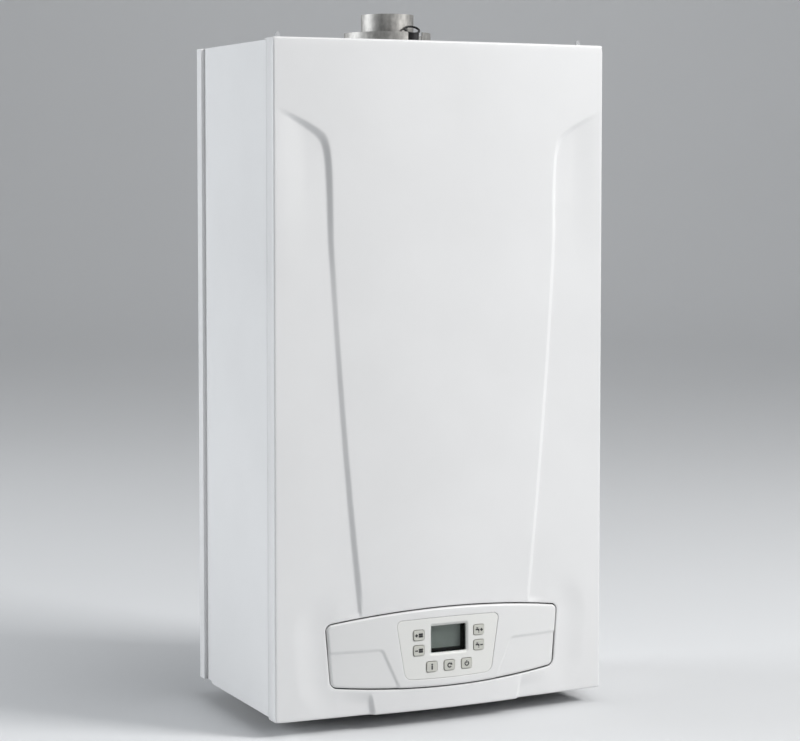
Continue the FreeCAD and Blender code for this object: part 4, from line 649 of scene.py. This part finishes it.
# ---------------------------------------------------------------- materials
class Shader:
    """A node material under construction."""

    def __init__(self, name, color, roughness, metallic=0.0):
        self.material = bpy.data.materials.new(name)
        self.material.use_nodes = True
        self.tree = self.material.node_tree
        self.main = self.tree.nodes["Principled BSDF"]
        self.main.inputs["Base Color"].default_value = (*color, 1)
        self.main.inputs["Roughness"].default_value = roughness
        self.main.inputs["Metallic"].default_value = metallic
        self.place = self.tree.nodes.new("ShaderNodeTexCoord").outputs["Object"]

    def node(self, kind, **values):
        """A node with its input defaults set by name."""
        item = self.tree.nodes.new(kind)
        for key, value in values.items():
            if key in item.bl_rna.properties:
                setattr(item, key, value)
            else:
                item.inputs[key.replace("_", " ")].default_value = value
        return item

    def link(self, source, target):
        """Join an output to an input."""
        self.tree.links.new(source, target)

    def noise(self, scale, detail=3, stretch=None):
        """Noise in the object's own space; scale is in features per metre."""
        source = self.place
        if stretch:
            mapping = self.tree.nodes.new("ShaderNodeMapping")
            mapping.inputs["Scale"].default_value = stretch
            self.link(source, mapping.inputs["Vector"])
            source = mapping.outputs["Vector"]
        item = self.node("ShaderNodeTexNoise", Scale=scale, Detail=detail)
        self.link(source, item.inputs["Vector"])
        return item.outputs["Fac"]

    def bump(self, height, strength, distance):
        """Surface relief from a height output."""
        item = self.node("ShaderNodeBump", Strength=strength, Distance=distance)
        self.link(height, item.inputs["Height"])
        self.link(item.outputs["Normal"], self.main.inputs["Normal"])

    def spread_color(self, factor, first, second, low=0.35, high=0.65):
        """Base colour that runs between two colours."""
        ramp = self.tree.nodes.new("ShaderNodeValToRGB")
        ramp.color_ramp.elements[0].position = low
        ramp.color_ramp.elements[1].position = high
        ramp.color_ramp.elements[0].color = (*first, 1)
        ramp.color_ramp.elements[1].color = (*second, 1)
        self.link(factor, ramp.inputs["Fac"])
        self.link(ramp.outputs["Color"], self.main.inputs["Base Color"])

    def spread_roughness(self, factor, low, high):
        """Roughness that runs between two values."""
        item = self.tree.nodes.new("ShaderNodeMapRange")
        item.inputs["To Min"].default_value = low
        item.inputs["To Max"].default_value = high
        self.link(factor, item.inputs["Value"])
        self.link(item.outputs["Result"], self.main.inputs["Roughness"])


def tone(color, share):
    """A colour multiplied by a share, made darker below 1 and lighter above it."""
    return tuple(min(1.0, c * share) for c in color)


def coated(name, color, roughness, grain=900, relief=0.00004, strength=0.25):
    """Paint or plastic with a fine surface grain and a slight change of tone."""
    patches, smears, detail = 9, 60, 4
    darker, lighter = 0.985, 1.012
    shader = Shader(name, color, roughness)
    shader.spread_color(shader.noise(patches, detail), tone(color, darker), tone(color, lighter))
    shader.spread_roughness(shader.noise(smears, detail), roughness - 0.04, roughness + 0.05)
    shader.bump(shader.noise(grain, 2), strength, relief)
    return shader.material


def metal(name, color, roughness, stretch=(1, 1, 1), variation=0.12, relief=0.00006, strength=0.3, scale=40):
    """Metal with a mottled grain, which stretch draws out along one way."""
    shader = Shader(name, color, roughness, metallic=1.0)
    grain = shader.noise(scale, 5, stretch)
    shader.spread_color(grain, tone(color, 1 - variation), tone(color, 1 + variation))
    shader.spread_roughness(shader.noise(scale, 4, stretch), roughness - 0.1, roughness + 0.12)
    shader.bump(grain, strength, relief)
    return shader.material


def spangled(name, color):
    """Galvanised sheet with large pale crystals."""
    crystals, grain, relief = 130, 300, 0.00003
    shader = Shader(name, color, 0.42, metallic=0.85)
    cells = shader.node("ShaderNodeTexVoronoi", Scale=crystals)
    shader.link(shader.place, cells.inputs["Vector"])
    split = shader.tree.nodes.new("ShaderNodeSeparateColor")
    shader.link(cells.outputs["Color"], split.inputs["Color"])
    shader.spread_color(split.outputs["Red"], tone(color, 0.86), tone(color, 1.1), 0.0, 1.0)
    shader.spread_roughness(split.outputs["Green"], 0.32, 0.5)
    shader.bump(shader.noise(grain, 3), 0.15, relief)
    return shader.material


def display(name):
    """Grey-green crystal display, black round its field, with the field set a little left of the middle."""
    frame_color, field_color = (0.012, 0.013, 0.012), (0.215, 0.243, 0.225)
    field_x, half_wide, side_blur = -1.0, 20.4, 1.0
    field_z, half_tall, end_blur = 75.2, 14.1, 0.8
    shader = Shader(name, field_color, 0.32)
    split = shader.tree.nodes.new("ShaderNodeSeparateXYZ")
    shader.link(shader.place, split.inputs["Vector"])

    def inside(axis, centre, half, soft):
        offset = shader.node("ShaderNodeMath", operation="SUBTRACT")
        offset.inputs[1].default_value = centre * MM
        shader.link(split.outputs[axis], offset.inputs[0])
        size = shader.node("ShaderNodeMath", operation="ABSOLUTE")
        shader.link(offset.outputs[0], size.inputs[0])
        step = shader.tree.nodes.new("ShaderNodeMapRange")
        step.inputs["From Min"].default_value = half * MM
        step.inputs["From Max"].default_value = (half - soft) * MM
        shader.link(size.outputs[0], step.inputs["Value"])
        return step.outputs["Result"]

    both = shader.node("ShaderNodeMath", operation="MULTIPLY")
    shader.link(inside("X", field_x, half_wide, side_blur), both.inputs[0])
    shader.link(inside("Z", field_z, half_tall, end_blur), both.inputs[1])
    shader.spread_color(both.outputs[0], frame_color, field_color, 0.0, 1.0)
    shader.bump(shader.noise(1500, 2), 0.05, 0.00001)
    return shader.material


def glass(name):
    """Clear pane."""
    shader = Shader(name, (0.95, 0.97, 0.96), 0.04)
    shader.main.inputs["Transmission Weight"].default_value = 1.0
    shader.main.inputs["IOR"].default_value = 1.1
    shader.spread_roughness(shader.noise(50, 3), 0.02, 0.06)
    return shader.material


def board(name):
    """Green circuit board with pale tracks."""
    mask_color, track_color, tracks = (0.015, 0.11, 0.045), (0.06, 0.2, 0.09), 90
    shader = Shader(name, mask_color, 0.35)
    bricks = shader.node("ShaderNodeTexBrick", Scale=tracks)
    shader.link(shader.place, bricks.inputs["Vector"])
    shader.spread_color(bricks.outputs["Fac"], mask_color, track_color, 0.4, 0.6)
    shader.bump(bricks.outputs["Fac"], 0.3, 0.00005)
    return shader.material


MATERIALS = {
    "white_enamel": coated("white_enamel", (0.80, 0.80, 0.80), 0.36, grain=1100, relief=0.00003,
                           strength=0.2),
    "white_plastic": coated("white_plastic", (0.78, 0.78, 0.775), 0.34, grain=1400, relief=0.00002,
                            strength=0.15),
    "keypad_plastic": coated("keypad_plastic", (0.79, 0.79, 0.765), 0.42, grain=1800, relief=0.00003),
    "button_plastic": coated("button_plastic", (0.58, 0.58, 0.53), 0.38, grain=1800, relief=0.00002,
                             strength=0.2),
    "display": display("display"),
    "clear_window": glass("clear_window"),
    "galvanised": spangled("galvanised", (0.60, 0.61, 0.62)),
    "zinc_screw": metal("zinc_screw", (0.66, 0.66, 0.62), 0.34, variation=0.1),
    "cast_aluminium": metal("cast_aluminium", (0.47, 0.46, 0.44), 0.55, stretch=(3, 3, 1.6), variation=0.2,
                            relief=0.0001, strength=0.6, scale=60),
    "stainless": metal("stainless", (0.62, 0.61, 0.59), 0.3, stretch=(1, 1, 8)),
    "brass": metal("brass", (0.68, 0.50, 0.22), 0.36, variation=0.14),
    "copper": metal("copper", (0.68, 0.33, 0.20), 0.34, variation=0.22),
    "black_plastic": coated("black_plastic", (0.025, 0.025, 0.028), 0.45),
    "black_rubber": coated("black_rubber", (0.016, 0.016, 0.017), 0.6, grain=700),
    "grey_plastic": coated("grey_plastic", (0.19, 0.20, 0.21), 0.5, grain=600),
    "red_enamel": coated("red_enamel", (0.36, 0.02, 0.018), 0.3, grain=500),
    "pump_paint": coated("pump_paint", (0.035, 0.04, 0.045), 0.42, grain=400, relief=0.0001, strength=0.4),
    "fibre_board": coated("fibre_board", (0.72, 0.69, 0.6), 0.9, grain=350, relief=0.0003, strength=0.6),
    "circuit": board("circuit"),
    "red_plastic": coated("red_plastic", (0.5, 0.02, 0.015), 0.32),
    "blue_plastic": coated("blue_plastic", (0.02, 0.09, 0.42), 0.32),
}


def dress(item, slot):
    """Give an object one material."""
    item.data.materials.clear()
    item.data.materials.append(MATERIALS[slot])


SLOTS = {part["node"]: part["material_slot"] for part in frame["record"]["subparts"]}
for name, item in NODES.items():
    dress(item, SLOTS[name])
for item in bpy.context.scene.objects:
    if item.type == "MESH" and item.name not in NODES and "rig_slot" in item:
        dress(item, item["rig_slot"])


# ---------------------------------------------------------------- soft edges of folded and moulded pieces
def soften(node, width):
    """Small rounded edges on a CAD piece."""
    merge_distance, sharp_from = 0.01, 40
    item = NODES[node]
    weld = item.modifiers.new("weld", "WELD")
    weld.merge_threshold = merge_distance * MM
    edge = item.modifiers.new("edges", "BEVEL")
    edge.width = width * MM
    edge.segments = 2
    edge.limit_method = "ANGLE"
    edge.angle_limit = math.radians(sharp_from)
    edge.harden_normals = True


EDGE_WIDTHS = {"side_panel_left": 0.45, "side_panel_right": 0.45, "rear_frame": 0.5, "top_panel": 0.3,
               "hook_pegs": 0.3, "chamber_lid": 0.3, "gas_valve": 1.0, "flow_group": 1.0,
               "return_group": 1.0, "valve_actuator": 1.0}
for node, width in EDGE_WIDTHS.items():
    soften(node, width)


# ---------------------------------------------------------------- studio
def floor():
    """Pale round floor just below the boiler whose rim curves up all round, so that no edge shows."""
    clearance, flat, bend, wall = 0.001, 5.5, 3.0, 9.0
    bend_steps, turns = 10, 96
    low = CAD_BOX[0].z - clearance
    section = [(0.0, low), (flat / 2, low), (flat, low)]
    section += [(flat + bend * math.sin(a), low + bend * (1 - math.cos(a)))
                for a in (math.radians(90 / bend_steps * i) for i in range(1, bend_steps + 1))]
    section.append((flat + bend, low + wall))
    vertices, faces = [], []
    for r, z in section:
        vertices += [(r * math.cos(math.tau * i / turns), r * math.sin(math.tau * i / turns), z)
                     for i in range(turns)]
    for row in range(len(section) - 1):
        for i in range(turns):
            j, here = (i + 1) % turns, row * turns
            faces.append((here + i, here + j, here + turns + j, here + turns + i))
    mesh = bpy.data.meshes.new("floor")
    mesh.from_pydata(vertices, [], faces)
    for face in mesh.polygons:
        face.use_smooth = True
    item = bpy.data.objects.new("floor", mesh)
    bpy.context.scene.collection.objects.link(item)
    shader = Shader("floor", (0.70, 0.71, 0.72), 0.85)
    shader.spread_color(shader.noise(0.4, 2), (0.695, 0.705, 0.715), (0.71, 0.72, 0.73))
    mesh.materials.append(shader.material)


def lamp(name, place, aim, size, power, color):
    """Soft square lamp."""
    data = bpy.data.lights.new(name, "AREA")
    data.size, data.energy, data.color = size, power, color
    item = bpy.data.objects.new(name, data)
    item.location = place
    item.rotation_euler = (Vector(aim) - Vector(place)).to_track_quat("-Z", "Y").to_euler()
    bpy.context.scene.collection.objects.link(item)


def studio():
    """Key lamp high on the right, lamps for the left side, the top and the backdrop, and a pale surround."""
    floor()
    world = bpy.data.worlds.new("studio")
    bpy.context.scene.world = world
    world.use_nodes = True
    world.node_tree.nodes["Background"].inputs["Color"].default_value = (0.95, 0.97, 1.0, 1)
    world.node_tree.nodes["Background"].inputs["Strength"].default_value = 0.22
    middle_high = (0, -0.15, 0.45)
    lamp("key", (2.2, -2.3, 2.6), middle_high, 1.2, 115, (1, 0.995, 0.99))
    lamp("side", (-3.05, 1.5, 1.3), middle_high, 1.8, 71, (0.94, 0.97, 1))
    lamp("over", (0.3, -0.9, 3.4), middle_high, 1.2, 26, (1, 1, 1))
    lamp("wash", (2.6, 4.6, 5.5), (3.8, 8.0, 1.0), 3.0, 60, (1, 1, 1))
    bpy.context.scene.view_settings.view_transform = "Standard"


studio()
